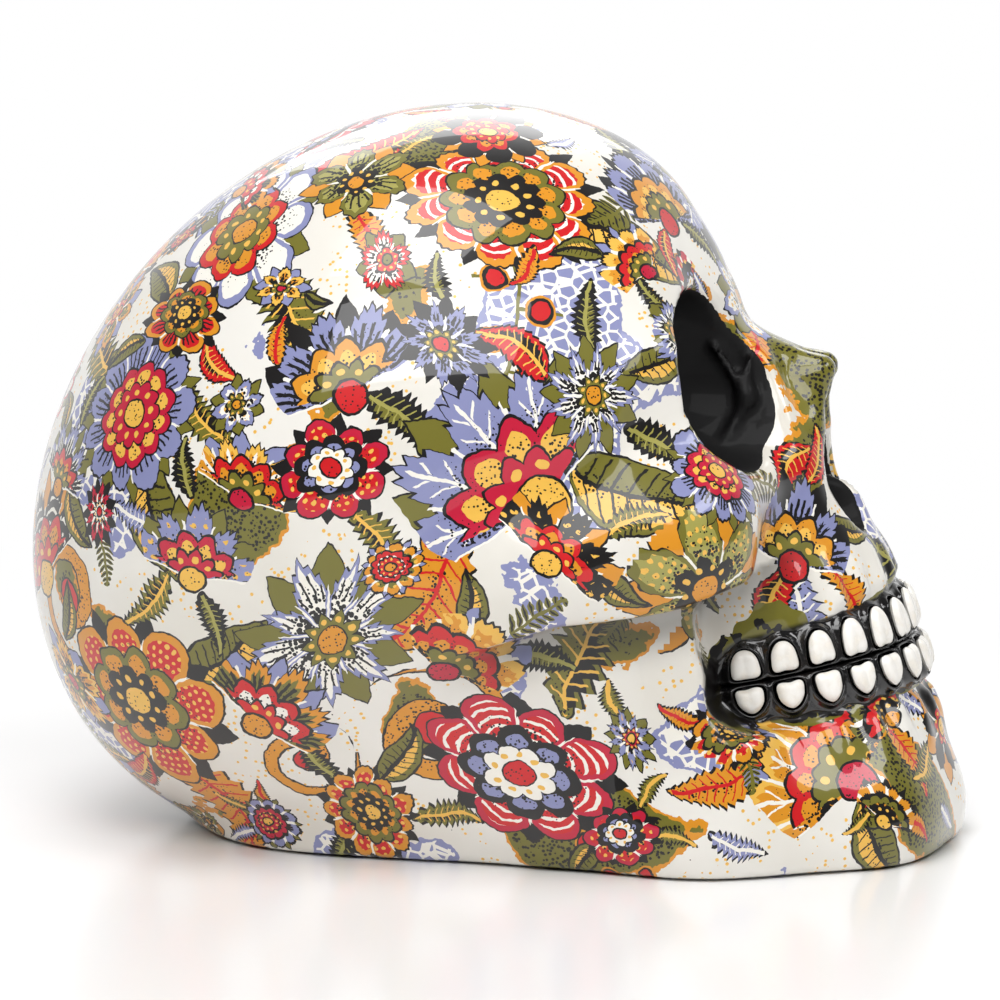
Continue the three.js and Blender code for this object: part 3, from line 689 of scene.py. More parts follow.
# share of the skin within a radius that faces about the same way
def evenness(face, radius):
    close = ((sampleMiddle - faceMiddle[face]) ** 2).sum(1) < radius * radius
    return ((sampleNormal[close] @ faceNormal[face]) > printing["sameWay"]).mean() if close.any() else 1.0


# true where a disc keeps the gap to every disc of a list, whose radii count only in part
def isClear(place, radius, discs, share=1.0):
    if not discs:
        return True
    middles = np.array([disc["middle"] for disc in discs])
    radii = np.array([disc["radius"] for disc in discs])
    return (np.linalg.norm(middles - place, axis=1) > radius + share * radii + printing["gap"]).all()


# a disc on a face, whose up axis leans from the skin's own upward direction by an angle
def newDisc(face, radius, lean, style, squash):
    normal = faceNormal[face]
    upward = np.array((0, 0, 1.0)) if abs(normal[2]) < 0.9 else np.array((0, -1.0, 0))
    up = upward - normal * (upward @ normal)
    up /= np.linalg.norm(up)
    side = np.cross(up, normal)
    axis = up * math.cos(lean) + side * math.sin(lean)
    return {"middle": faceMiddle[face], "normal": normal, "radius": radius, "up": axis,
            "side": np.cross(axis, normal), "squash": squash, "style": style}


# faces for the widest holes that are left between discs, widest first, each with the room there
def widestHoles(discs, least):
    places = faceMiddle[openFaces]
    room = np.full(len(places), 1e9)
    for disc in discs:
        room = np.minimum(room, np.linalg.norm(places - disc["middle"], axis=1) - disc["radius"])
    while room.max() > least:
        at = room.argmax()
        yield openFaces[at], room[at]
        room = np.minimum(room, np.linalg.norm(places - places[at], axis=1) - room[at])


# flowers clear of each other, with their middles off the flowers below
def scatterFlowers(size, below):
    flowers, layer = [], printing[size]
    middle, covered = printing["flowerOff"]

    def addFlower(face, radius):
        number = layer["firstStyle"] + len(flowers)
        style = flowerStyles[number % len(flowerStyles)]
        lean = rng.uniform(*printing["fanLean" if style["fan"] else "anyTurn"])
        inkSet = flowerInks[(number * 3 + number // 10) % len(flowerInks)]
        style = dict(style, inks=inkSet, fill=layer["fills"][number % len(layer["fills"])])
        flowers.append(newDisc(face, radius, lean, style, rng.uniform(*printing["squash"])))

    for radius, tries in zip(layer["flowers"], layer["flowerTries"]):
        for face in rng.choice(openFaces, tries):
            place = faceMiddle[face]
            if isClear(place, radius, flowers) and isClear(place, radius * middle, below, covered):
                if evenness(face, radius) > printing["flowerEven"]:
                    addFlower(face, radius)
    for face, room in widestHoles(flowers + below, layer["flowerHole"]):
        radius = min(room * printing["flowerRoom"], layer["flowers"][0])
        if evenness(face, radius) > printing["flowerHoleEven"]:
            addFlower(face, radius)
    return flowers


# leaves round each flower, tips outwards, then leaves in what is left
def scatterLeaves(size, flowers, others):
    leaves, layer = [], printing[size]
    styles = [style for style in leafStyles if style["kind"] in layer["kinds"]]
    apart, covered = printing["leafApart"]

    def addLeaf(face, radius):
        lean = rng.uniform(*printing["anyTurn"])
        leaves.append(newDisc(face, radius, lean, styles[rng.integers(len(styles))], 1.0))

    for flower in flowers:
        turns = np.arange(layer["around"]) * 2 * math.pi / layer["around"]
        for turnAt in turns + rng.uniform(0, 1):
            radius = rng.uniform(*layer["leafSizes"]) * flower["radius"]
            out = flower["side"] * math.sin(turnAt) + flower["up"] * math.cos(turnAt)
            place = flower["middle"] + out * (flower["radius"] + radius * printing["leafOut"])
            face = openFaces[((faceMiddle[openFaces] - place) ** 2).sum(1).argmin()]
            if isClear(faceMiddle[face], radius * apart, leaves, covered):
                addLeaf(face, radius)
                disc = leaves[-1]
                along = out - disc["normal"] * (out @ disc["normal"])
                disc["side"] = along / np.linalg.norm(along)
                disc["up"] = np.cross(disc["normal"], disc["side"])
    for radius, tries in zip(layer["leaves"], layer["leafTries"]):
        for face in rng.choice(openFaces, tries):
            place = faceMiddle[face]
            offFlowers = isClear(place, radius * layer["covered"], flowers)
            if offFlowers and isClear(place, radius * apart, leaves, covered):
                if evenness(face, radius) > printing["leafEven"]:
                    addLeaf(face, radius)
    for face, room in widestHoles(leaves + others, layer["leafHole"]):
        if evenness(face, room) > printing["leafHoleEven"]:
            addLeaf(face, min(room * printing["leafRoom"], layer["leaves"][0]))
    return leaves


largeFlowers = scatterFlowers("large", [])
smallFlowers = scatterFlowers("small", largeFlowers)
allFlowers = largeFlowers + smallFlowers
largeLeaves = scatterLeaves("large", largeFlowers, allFlowers)
smallLeaves = scatterLeaves("small", smallFlowers, allFlowers + largeLeaves)
# small leaves keep off the middles of the large flowers
middle, covered = printing["leafOff"]
smallLeaves = [leaf for leaf in smallLeaves
               if isClear(leaf["middle"], leaf["radius"] * middle, largeFlowers, covered)]
print(len(largeFlowers), "large flowers,", len(smallFlowers), "small,", len(largeLeaves), "large leaves,",
      len(smallLeaves), "small")


# number of the disc that each face lies deepest in, among those that face its way and lie on no other step
def nearestDisc(discs):
    sameSide, leastRise, curve = 0.05, 3.5, 120
    depth, owner = np.full(len(faceMiddle), 1e9), np.zeros(len(faceMiddle), int)
    for number, disc in enumerate(discs):
        away = np.linalg.norm(faceMiddle - disc["middle"], axis=1) - disc["radius"]
        raised = np.abs((faceMiddle - disc["middle"]) @ disc["normal"])
        level = raised < disc["radius"] ** 2 / curve + leastRise
        closer = (away < depth) & (faceNormal @ disc["normal"] > sameSide) & level
        depth[closer], owner[closer] = away[closer], number
    return owner


def layerAttributes(prefix, discs, shapes, inkLists):
    owner = nearestDisc(discs)
    columns = {
        "middle": ("FLOAT_VECTOR", [disc["middle"] for disc in discs]),
        "side": ("FLOAT_VECTOR", [disc["side"] / disc["radius"] for disc in discs]),
        "up": ("FLOAT_VECTOR", [disc["up"] / disc["radius"] / disc["squash"] for disc in discs]),
        "radius": ("FLOAT", [disc["radius"] for disc in discs]),
    }
    for name, keys in shapes.items():
        columns[name] = ("FLOAT_VECTOR", [[disc["style"][key] for key in keys] for disc in discs])
    for number, names in enumerate(zip(*inkLists)):
        columns[f"ink{number}"] = ("FLOAT_COLOR", [inks[name] for name in names])
    for name, (kind, values) in columns.items():
        setAttribute(skinMesh, prefix + name, kind, "FACE", np.array(values)[owner])


# three values to a vector, so the fan is given twice
flowerShapes = {"shape": ("petals", "shown", "point"), "edge": ("depth", "fringe", "fan"),
                "more": ("fill", "ringed", "fan")}
leafShapes = {"shape": ("kind", "bend", "saw")}
leafInks = ("blade", "vein", "fruit")
for prefix, discs in (("large_flower_", largeFlowers), ("small_flower_", smallFlowers)):
    layerAttributes(prefix, discs, flowerShapes, [disc["style"]["inks"] for disc in discs])
for prefix, discs in (("large_leaf_", largeLeaves), ("small_leaf_", smallLeaves)):
    layerAttributes(prefix, discs, leafShapes, [[disc["style"][key] for key in leafInks] for disc in discs])

# Distance for the airbrushing round the gums, which is narrower at the front and below and stays by the arch
airbrush = {"reach": 44, "front": 1.8, "frontTurn": (math.radians(66), math.radians(40)), "lower": 1.5}
turn, radius, height, _ = inMouth(*skinPoints.T)
fromGums = np.maximum(height - gumBorder(turn, "upper"), -gumBorder(turn, "lower") - height)
fromGums = np.maximum(fromGums, (np.abs(turn) - gumEnd) * radius) + np.maximum(radius - airbrush["reach"], 0)
atFront = smoothStep(*airbrush["frontTurn"], np.abs(turn))
fromGums *= 1 + airbrush["front"] * atFront + airbrush["lower"] * (height < 0)
# painted shade on the wall under the cheek ledge, standing in for the ledge's shadow, thinning downwards and
# to the back
shadeUnderLedge = {"fade": (13, 0), "start": (-1, 0.5), "back": (8, -16), "front": (-70, -60), "wall": (4, 1.5)}
x, y, z = np.abs(skinPoints[:, 0]), skinPoints[:, 1], skinPoints[:, 2]
below = ledgeHeight(y) - z
paintedShade = smoothStep(*shadeUnderLedge["fade"], below) * smoothStep(*shadeUnderLedge["start"], below)
paintedShade *= smoothStep(*shadeUnderLedge["back"], y) * smoothStep(*shadeUnderLedge["front"], y)
paintedShade *= smoothStep(*shadeUnderLedge["wall"], x - ledgeWall(y, skull["forms"]["underArch"]))
for name, values in (("socket", socketDistance(*skinPoints.T)), ("nose", noseDistance(*skinPoints.T)),
                     ("from_gums", fromGums), ("paintedShade", paintedShade)):
    setAttribute(skinMesh, name, "FLOAT", "POINT", values)


# place on the skin in mm, pushed about a little so that outlines look drawn by hand
def drawnPlace(wire):
    place = wire.place().vector("MULTIPLY", (1 / mm,) * 3)
    for scale, push in ((110.0, 3.0), (650.0, 0.7)):
        stir = wire.noise(scale, 1.0, out="Color")
        place = place.vector("ADD", stir.vector("SUBTRACT", (0.5,) * 3).vector("MULTIPLY", (push,) * 3))
    return place


# place within a disc: along its two axes from -1 to 1, its radius, and 1 inside it
def discPlace(wire, prefix, place):
    off = place.vector("SUBTRACT", wire.attribute(prefix + "middle", "Vector"))
    across = off.vector("DOT_PRODUCT", wire.attribute(prefix + "side", "Vector"), out="Value")
    up = off.vector("DOT_PRODUCT", wire.attribute(prefix + "up", "Vector"), out="Value")
    radius = wire.attribute(prefix + "radius")
    return across, up, radius, off.vector("LENGTH", out="Value") < radius


def parts(vector):
    return [vector.node("ShaderNodeSeparateXYZ", {}, {0: vector}, out=axis) for axis in range(3)]


# an ink laid on where a value is under its edge, in a black outline of that width
def outlined(colour, ink, value, edge, width, mask):
    return colour.under(inks["black"], (value < edge) * mask).under(ink, (value < edge - width) * mask)


def span(a, b):
    return (a * a + b * b).root()


# Flower: lines, veins, dots, twigs and splits are in mm, the rest in shares of the disc's radius
flowerForm = {
    "fanDrop": 0.6, "fanSpread": 0.56, "fanTrim": 0.3, "line": 0.5,
    "sepal": 0.985, "sepalDepth": 0.84,
    "petal": 0.96, "uneven": 0.13, "saws": 6,
    "toneLine": 1.4, "toneEdge": 0.05, "toneSide": 0.76,
    "veins": 5, "vein": 0.24, "veinRun": (0.42, 0.7),
    "dotPitch": 1.9, "dot": 0.5,
    "bows": 0.8, "bowBend": 0.7, "bow": 0.16,
    "twigs": 0.5, "twigLean": 1.6, "twig": 0.28, "twigRun": (0.1, 0.6), "twigStem": 0.56, "twigFrom": 0.45,
    "grain": 0.74, "grainRate": 1.5, "grainFrom": 0.2, "split": 0.3,
    "rise": 0.07, "ring": 0.58, "ringDepth": 0.5, "ringLine": 1.2, "ringSide": 0.72,
    "ringGrain": 0.56, "ringGrainRate": 1.7,
    "inner": 0.37, "innerDepth": 0.35, "innerLine": 0.45,
    "seeds": 9, "seedRing": 0.24, "seed": 0.034,
    "core": 0.17, "coreLine": 0.4, "coreGrain": 0.24, "coreGrainTo": 0.15,
}


# Sepals, then up to three rings of petals round a core that lies a little high, as if seen aslant. A petal's
# edge falls from its tip by depth * |across| ^ point, a fringe saws it, each petal has its own length, and a
# fan shows only some petals, from a centre moved down.
def flowerInk(wire, colour, size, place, grain):
    prefix, fills, form = size + "_flower_", printing[size]["fills"], flowerForm
    black, cream, gold = (inks[name] for name in ("black", "cream", "gold"))
    across, up, radius, inDisc = discPlace(wire, prefix, place)
    petals, shown, point = parts(wire.attribute(prefix + "shape", "Vector"))
    depth, fringe, fan = parts(wire.attribute(prefix + "edge", "Vector"))
    fill, ringed, _ = parts(wire.attribute(prefix + "more", "Vector"))
    sepal, *ink = [wire.attribute(f"{prefix}ink{i}", "Color") for i in range(7)]
    low = up + fan * form["fanDrop"]
    spread = fan * form["fanSpread"] + 1
    r = span(across, low) / spread
    turn = across.maths("ARCTAN2", low) / (2 * math.pi)
    line = 1 / radius
    arc = r * radius * (2 * math.pi)
    petalTurn = turn * petals
    shows = (petalTurn.size() < shown * 0.5) * inDisc
    showsInner = (petalTurn.size() < shown * 0.5 - fan * form["fanTrim"]) * inDisc
    middle = petalTurn.phase()
    offMiddle = middle.size() * 2
    # a chance from 0 to 1 for each petal, from its number and the flower's radius
    number = (petalTurn.maths("ROUND") + petals).maths("MODULO", petals)
    chance = ((number * 12.9 + radius * 7.7).maths("SINE") * 43.7).maths("FRACT").size()
    tip = form["sepal"] - (petalTurn + 0.5).phase().size() * form["sepalDepth"]
    colour = outlined(colour, sepal, r, tip, line * form["line"], shows)
    saw = (petalTurn * form["saws"]).phase().size() * 2
    edge = form["petal"] - chance * form["uneven"] - depth * offMiddle ** point - fringe * saw
    colour = outlined(colour, ink[0], r, edge, line * form["line"], shows)
    tone = (r < edge - line * form["toneLine"] - form["toneEdge"]) * (offMiddle < form["toneSide"]) * shows
    colour = colour.under(ink[1], tone)
    # veins, dots, bows or white twigs on the petals, and black grain that thickens to the middle
    vein = (petalTurn * form["veins"] + 0.5).phase().size() * arc / (petals * form["veins"])
    veinFrom, veinTo = form["veinRun"]
    veins = (vein < form["vein"]) * (r > veinFrom) * (r < veinTo)
    colour = colour.under(black, tone * veins * (fill < 0.5))
    ring = r * radius / form["dotPitch"]
    dotOut = (ring - 0.5).phase() * form["dotPitch"]
    dots = ((ring.maths("FLOOR") + 0.5) * (2 * math.pi)).maths("ROUND").maths("MAXIMUM", 1.0)
    dot = span(dotOut, (turn * dots - 0.5).phase() / dots * arc)
    colour = colour.under(gold, tone * (dot < form["dot"]) * (fill > 0.5) * (fill < 1.5))
    if 2 in fills:
        bow = (ring * form["bows"] + offMiddle * offMiddle * form["bowBend"]).phase().size()
        colour = colour.under(cream, tone * (bow < form["bow"]) * (fill > 1.5) * (fill < 2.5))
    if 3 in fills:
        twig = (ring * form["twigs"] - offMiddle * form["twigLean"]).phase().size() * form["dotPitch"] * 2
        twigFrom, twigTo = form["twigRun"]
        twigs = (twig < form["twig"]) * (offMiddle > twigFrom) * (offMiddle < twigTo)
        twigs = twigs.maths("MAXIMUM", offMiddle * arc / petals < form["twigStem"])
        colour = colour.under(cream, tone * (fill > 2.5) * (r > form["twigFrom"]) * twigs)
    grained = (grain < (form["grain"] - r) * form["grainRate"]) * (r > form["grainFrom"])
    colour = colour.under(black, tone * grained)
    split = (0.5 - middle.size()) * arc / petals
    colour = colour.under(cream, (r < edge) * shows * (split < form["split"]))
    # middle ring, half a petal on
    low = low - (1 - fan) * form["rise"]
    r = span(across, low) / spread
    turn = across.maths("ARCTAN2", low) / (2 * math.pi)
    petalTurn = turn * petals
    offMiddle = petalTurn.phase().size() * 2
    offSecond = (petalTurn + 0.5).phase().size() * 2
    second = form["ring"] - depth * form["ringDepth"] * offSecond ** point
    inSecond = showsInner * (ringed > 0.5)
    colour = outlined(colour, ink[2], r, second, line * form["line"], inSecond)
    tone = (r < second - line * form["ringLine"] - form["toneEdge"]) * (offSecond < form["ringSide"])
    colour = colour.under(ink[3], tone * inSecond)
    grained = (grain < (form["ringGrain"] - r) * form["ringGrainRate"]) * (r < second - line * form["line"])
    colour = colour.under(black, grained * inSecond)
    # inner ring, seeds and core
    third = form["inner"] - depth * form["innerDepth"] * offMiddle ** point
    colour = outlined(colour, ink[4], r, third, line * form["innerLine"], showsInner)
    seedSide = (turn * form["seeds"]).phase() / form["seeds"] * r * (2 * math.pi)
    colour = colour.under(gold, (span(seedSide, r - form["seedRing"]) < form["seed"]) * showsInner)
    colour = outlined(colour, ink[5], r, form["core"], line * form["coreLine"], inDisc)
    return colour.under(black, (grain < form["coreGrain"]) * (r < form["coreGrainTo"]) * inDisc)


# Leaf layer: lines are in mm, the rest in shares of the disc's radius
leafForm = {
    "arch": 0.4, "stretch": 1.04, "round": 0.75, "skew": 0.35, "half": 0.42, "end": 0.94,
    "teeth": 6, "teethLean": 2.5, "line": 0.5, "toneLine": 1.6, "veinLine": 1.1, "vein": 0.09,
    "grain": 0.46, "grainRate": 1.9, "midrib": 0.4, "midribEnd": 0.85,
}
fernForm = {
    "end": 0.92, "stretch": 0.98, "shift": 0.05, "round": 0.6, "skew": 0.35, "reach": 0.5, "leastReach": 0.02,
    "leaflets": 4.2, "lean": 2.2, "start": 0.3, "leafletRound": 0.7, "half": 0.40, "vein": 0.35, "stem": 0.38,
}
sprigForm = {"end": 0.83, "steps": 3, "stalk": 0.24, "stalkLine": 0.9, "berry": 0.16, "fruit": 0.12,
             "line": 0.5, "stem": 0.4}
curlForm = {"coils": 1.5, "half": 0.2, "thinning": 0.12, "end": 0.93, "line": 0.4, "grain": 0.5,
            "grainRate": 0.5, "grainEnd": 0.9, "berry": 0.24, "berryLine": 0.45}


# The midrib runs along the disc's side axis on a parabola, and a leaf's half width is
# half (1 - x^2)^round (1 - skew x). A fern, a sprig of berries or a curl may stand in its place.
def leafInk(wire, colour, size, place, grain):
    prefix, kinds, form = size + "_leaf_", printing[size]["kinds"], leafForm
    black, ochre = inks["black"], inks["ochre"]
    x, up, radius, inDisc = discPlace(wire, prefix, place)
    kind, bend, saw = parts(wire.attribute(prefix + "shape", "Vector"))
    blade, vein, fruit = [wire.attribute(f"{prefix}ink{i}", "Color") for i in range(3)]
    line = 1 / radius
    lift = up - bend * (x * x - form["arch"])
    off = lift.size()
    isLeaf = (kind < 0.5) * inDisc
    along = x * form["stretch"]
    tooth = (x * form["teeth"] - off * form["teethLean"]).maths("FRACT")
    half = (1 - along * along).maths("MAXIMUM", 0.0) ** form["round"] * (1 - along * form["skew"])
    half = half * form["half"] * (1 - tooth * saw)
    body = (x.size() < form["end"]) * isLeaf
    colour = outlined(colour, blade, off, half, line * form["line"], body)
    # one half of the blade has a tone of its own, and black grain lies along the midrib
    colour = colour.under(fruit, body * (off < half - line * form["toneLine"]) * (lift < 0.0))
    colour = colour.under(black, body * (off < half) * (grain < form["grain"] - off * form["grainRate"]))
    veins = (off < half - line * form["veinLine"]) * ((tooth - 0.5).size() < form["vein"])
    colour = colour.under(vein, body * veins)
    colour = colour.under(vein, (off < line * form["midrib"]) * (x.size() < form["midribEnd"]) * isLeaf)
    # fern: leaflets in pairs, each a sine wide
    if 1 in kinds:
        form = fernForm
        isFern = (kind > 0.5) * (kind < 1.5) * (x.size() < form["end"]) * inDisc
        slope = x * form["stretch"] + form["shift"]
        reach = (1 - slope * slope).maths("MAXIMUM", 0.0) ** form["round"]
        reach = reach * (1 - x * form["skew"]) * form["reach"]
        leaflet = (x * form["leaflets"] - off * form["lean"] - form["start"]).phase().size()
        share = off / reach.maths("MAXIMUM", form["leastReach"])
        wide = (share * math.pi).maths("SINE").maths("MAXIMUM", 0.0) ** form["leafletRound"] * form["half"]
        body = (leaflet < wide) * (share < 1.0) * isFern
        colour = colour.under(blade, body).under(vein, body * (leaflet < wide * form["vein"]))
        colour = colour.under(blade, (off < line * form["stem"]) * isFern)
    # sprig: a berry on a stalk at each step, on either side in turn
    if 2 in kinds:
        form = sprigForm
        isSprig = (kind > 1.5) * (kind < 2.5) * (x.size() < form["end"]) * inDisc
        step = x * form["steps"] + 0.5
        stepOff = step.maths("FRACT") - 0.5
        berryLift = lift - ((step.maths("FLOOR") * 0.5).maths("FRACT") * 4 - 1) * form["stalk"]
        berry = span(stepOff / form["steps"], berryLift)
        stalk = (berryLift.size() < form["stalk"]) * (stepOff.size() < line * form["stalkLine"])
        colour = colour.under(blade, stalk * isSprig)
        colour = colour.under(ochre, (berry < form["berry"]) * isSprig)
        colour = colour.under(black, (berry < form["berry"] - line * form["line"]) * isSprig)
        colour = colour.under(fruit, (berry < form["fruit"] - line * form["line"]) * isSprig)
        colour = colour.under(blade, (off < line * form["stem"]) * isSprig)
    # curl: a spiral line, radius growing evenly with the turn, that thins outwards, round a berry
    if 3 in kinds:
        form = curlForm
        isCurl = (kind > 2.5) * inDisc
        r = span(x, up)
        coil = (r * form["coils"] - up.maths("ARCTAN2", x) / (2 * math.pi)).phase().size() / form["coils"]
        wide = form["half"] - r * form["thinning"]
        inner = (coil < wide - line * form["line"]) * (r < form["end"] - line * form["line"])
        colour = colour.under(black, (coil < wide) * (r < form["end"]) * isCurl).under(blade, inner * isCurl)
        grained = (grain < form["grain"] - r * form["grainRate"]) * (r < form["grainEnd"])
        colour = colour.under(black, (coil < wide) * grained * isCurl)
        colour = outlined(colour, fruit, r, form["berry"], line * form["berryLine"], isCurl)
    return colour


# Ground: off-white, with patches of lace, of dots and of dark-flecked olive
ground = {"dotSize": 0.0016, "laceSize": 0.0026, "random": 0.75, "dot": 0.24, "dotted": (0.46, 0.53),
          "lace": 0.60, "laceInner": 0.612, "laceLine": 0.11, "ochre": 0.425, "olive": 0.415, "flecked": 0.40,
          "fleck": 0.42, "ragged": 0.05}


def groundInk(wire, grain):
    colour = wire.noise(22, 3).rise(0.35, 0.7).between(inks["ground"], paint(222, 217, 206))
    dot = wire.cells(ground["dotSize"], ground["random"])
    lace = wire.cells(ground["laceSize"], ground["random"], "DISTANCE_TO_EDGE")
    patch = wire.noise(26, 1)
    low, high = ground["dotted"]
    colour = colour.under(inks["gold"], (dot < ground["dot"]) * (patch > low) * (patch < high))
    rough = patch + wire.noise(380, 2) * ground["ragged"]
    colour = colour.under(inks["lavender"], rough > ground["lace"])
    colour = colour.under(inks["cream"], (rough > ground["laceInner"]) * (lace < ground["laceLine"]))
    for name in ("ochre", "olive"):
        colour = colour.under(inks[name], rough < ground[name])
    return colour.under(inks["black"], (rough < ground["flecked"]) * (grain < ground["fleck"]))


# Lacquered print: the ground, the four layers, then black paint, airbrushing and painted shade under the
# cheek ledge
lacquer = {
    "roughness": 0.3, "specular": 0.25, "coat": 0.85, "coatRoughness": 0.02, "holeCoat": 0.05,
    "holeDull": 0.3, "bump": 0.03, "crumple": 3.0, "socketEdge": 0.3, "airbrush": (10.0, 0.5),
    "gumEdge": (1.5, 0.2), "gumBlack": 0.95, "paintedShade": 0.6,
    "grainSize": 0.00085, "speckPitch": 0.007, "speck": 0.028,
    # ink, noise scale and detail, how far the noise spreads, and the level above which it shows
    "daubs": (("olive", 75, 2, 2.6, 0.8), ("black", 150, 3, 2.2, 0.95)),
}
printed, wire = newMaterial("printed_lacquer")
grain = wire.cells(lacquer["grainSize"])
drawn = drawnPlace(wire)
colour = groundInk(wire, grain)
for size in ("large", "small"):
    colour = leafInk(wire, colour, size, drawn, grain)
    colour = flowerInk(wire, colour, size, drawn, grain)
# dark olive and black daubs round the gums, then a soft black edge
gumsAway = wire.attribute("from_gums")
near = gumsAway.rise(*lacquer["airbrush"])
for name, scale, detail, spread, level in lacquer["daubs"]:
    colour = colour.under(inks[name], near + (wire.noise(scale, detail) - 0.5) * spread > level)
colour = colour.under(inks["black"], gumsAway.rise(*lacquer["gumEdge"]) * lacquer["gumBlack"])
# painted shade under the cheek ledge, laid on in black
colour = colour.under(inks["black"], wire.attribute("paintedShade") * lacquer["paintedShade"])
# stray specks in the lacquer, then black in the sockets and the nose
colour = colour.under(paint(60, 44, 34), wire.cells(lacquer["speckPitch"]) < lacquer["speck"])
socket = wire.attribute("socket")
inHole = socket.maths("MINIMUM", wire.attribute("nose")) < lacquer["socketEdge"]
colour = colour.under(paint(9, 8, 9), inHole)
crumple = (wire.noise(85, 2) * socket.rise(0.0, -6.0)).bump(0.8, lacquer["crumple"])
finishMaterial(wire, {
    "Base Color": colour, "Specular IOR Level": lacquer["specular"],
    "Roughness": lacquer["roughness"] + wire.noise(70, 3) * 0.08 + inHole * lacquer["holeDull"],
    "Coat Weight": lacquer["coat"] - inHole * (lacquer["coat"] - lacquer["holeCoat"]),
    "Coat Roughness": lacquer["coatRoughness"],
    "Normal": wire.noise(160, 3).bump(0.12, lacquer["bump"], Normal=crumple)})
newPiece("skull_skin", skinMesh, printed, "printed_resin", "skull_shell")


# radius in the mouth's frame at which the plain skin lies, found by halving
def skinRadius(turn, height):
    reach, halvings = 6, 14
    near, far = gumRadius(height) - reach, gumRadius(height) + reach
    for _ in range(halvings):
        middle = (near + far) / 2
        outside = plainSkin(*np.moveaxis(fromMouth(turn, middle, height), -1, 0)) > 0
        near, far = np.where(outside, near, middle), np.where(outside, middle, far)
    return near


# nearest tooth to a turn: its own turn, its height and the level of its middle
def toothAt(turn, jaw):
    place = np.clip(np.floor(np.abs(turn) / toothPitch), 0, mouth["teethPerSide"] - 1)
    middle = np.where(turn < 0, -1, 1) * (place + 0.5) * toothPitch
    tall = alongArch(mouth[jaw + "Tooth"], middle)
    return middle, tall, mouth["biteGap"] / 2 + tall / 2


# distance outside the nearest tooth's outline: (|n|^p + |m|^p)^(1/p) - 1 in half sizes, times the lesser one
def fromTooth(turn, level, jaw):
    form = toothForm[jaw]
    middle, tall, centre = toothAt(turn, jaw)
    m = (level - centre) / (tall / 2)
    n = (turn - middle) * mouth["radius"] / (mouth["toothWidth"] / 2)
    n = np.abs(n) / (1 - form["taper"] * np.clip((m + 1) / 2, 0, 1.2))
    power = np.where(m > 0, form["squareGum"], toothForm["squareBite"])
    return ((n ** power + np.abs(m) ** power) ** (1 / power) - 1) * mouth["toothWidth"] / 2


# Gum: a closed section carried round the arch. Its outer rows run from the bite to the scalloped border, at
# the arch's radius plus collars less pockets, and come down on to the skin at the border and at the ends.
def gumMesh(jaw, hand):
    turn, share = np.meshgrid(np.linspace(-gumEnd, gumEnd, gum["columns"]), np.linspace(0, 1, gum["rows"]),
                              indexing="ij")
    inner = smoothStep(gumEnd, gumEnd - gum["endRound"], np.abs(turn))
    scallop = gum["scallop"] * (0.5 - np.cos(2 * math.pi * turn / toothPitch) / 2) * inner
    border = gumBorder(turn, jaw) + scallop
    level = gum["fit"] + (border - gum["fit"]) * share
    away = fromTooth(turn, level, jaw)
    collar = gum["collar"] * np.exp(-((away - gum["collarAway"]) / gum["collarWidth"]) ** 2)
    valley = -gum["valley"] * smoothStep(*gum["valleyAway"], away)
    pocket = -gum["pocket"] * smoothStep(*gum["pocketAway"], away)
    bite = np.clip(1 - (level - gum["fit"]) / gum["biteRound"], 0, 1)
    bite = -gum["biteRound"] * (1 - np.sqrt(np.maximum(1 - bite * bite, 0)))
    radius = gumRadius(hand * level) + collar + valley + pocket + bite
    toBorder = border - level
    skinAt = np.minimum(skinRadius(turn, hand * level), gumRadius(hand * level))
    skinAt = skinAt + gum["lap"] * smoothStep(*gum["lapRise"], toBorder) - gum["tuck"] * (share == 1)
    down = smoothStep(gum["lapWidth"], 0, toBorder) * smoothStep(*gum["lapFrom"], share)
    radius = radius * (1 - down) + skinAt * down
    outer = fromMouth(turn, radius, hand * level)
    # the hidden back of the section, inside the recess
    backLevel = np.maximum(gumBorder(turn[:, 0], jaw) - mouth["recessInset"] - gum["fit"], 2 * gum["fit"])
    biteLevel = np.full_like(backLevel, gum["fit"])
    back = mouth["thickness"] - gum["fit"]
    backRows = []
    for depth, level in ((gum["backDepth"], backLevel), (back, backLevel), (back, biteLevel)):
        backRows.append(fromMouth(turn[:, 0], gumRadius(hand * level) - depth, hand * level))
    rings = np.concatenate([outer, np.stack(backRows, 1)], 1)
    count = rings.shape[1]
    points = rings.reshape(-1, 3)
    hubs = np.stack([rings[0].mean(0), rings[-1].mean(0)])
    first, last = np.arange(count), np.arange(count) + len(points) - count
    faces = gridFaces(gum["columns"], count, closedColumns=True)
    caps = np.concatenate([fanFaces(len(points), first), fanFaces(len(points) + 1, last[::-1])])
    points = np.concatenate([points, hubs])
    return newMesh(jaw + "_gum", points, *facedOut(points, faces, caps))


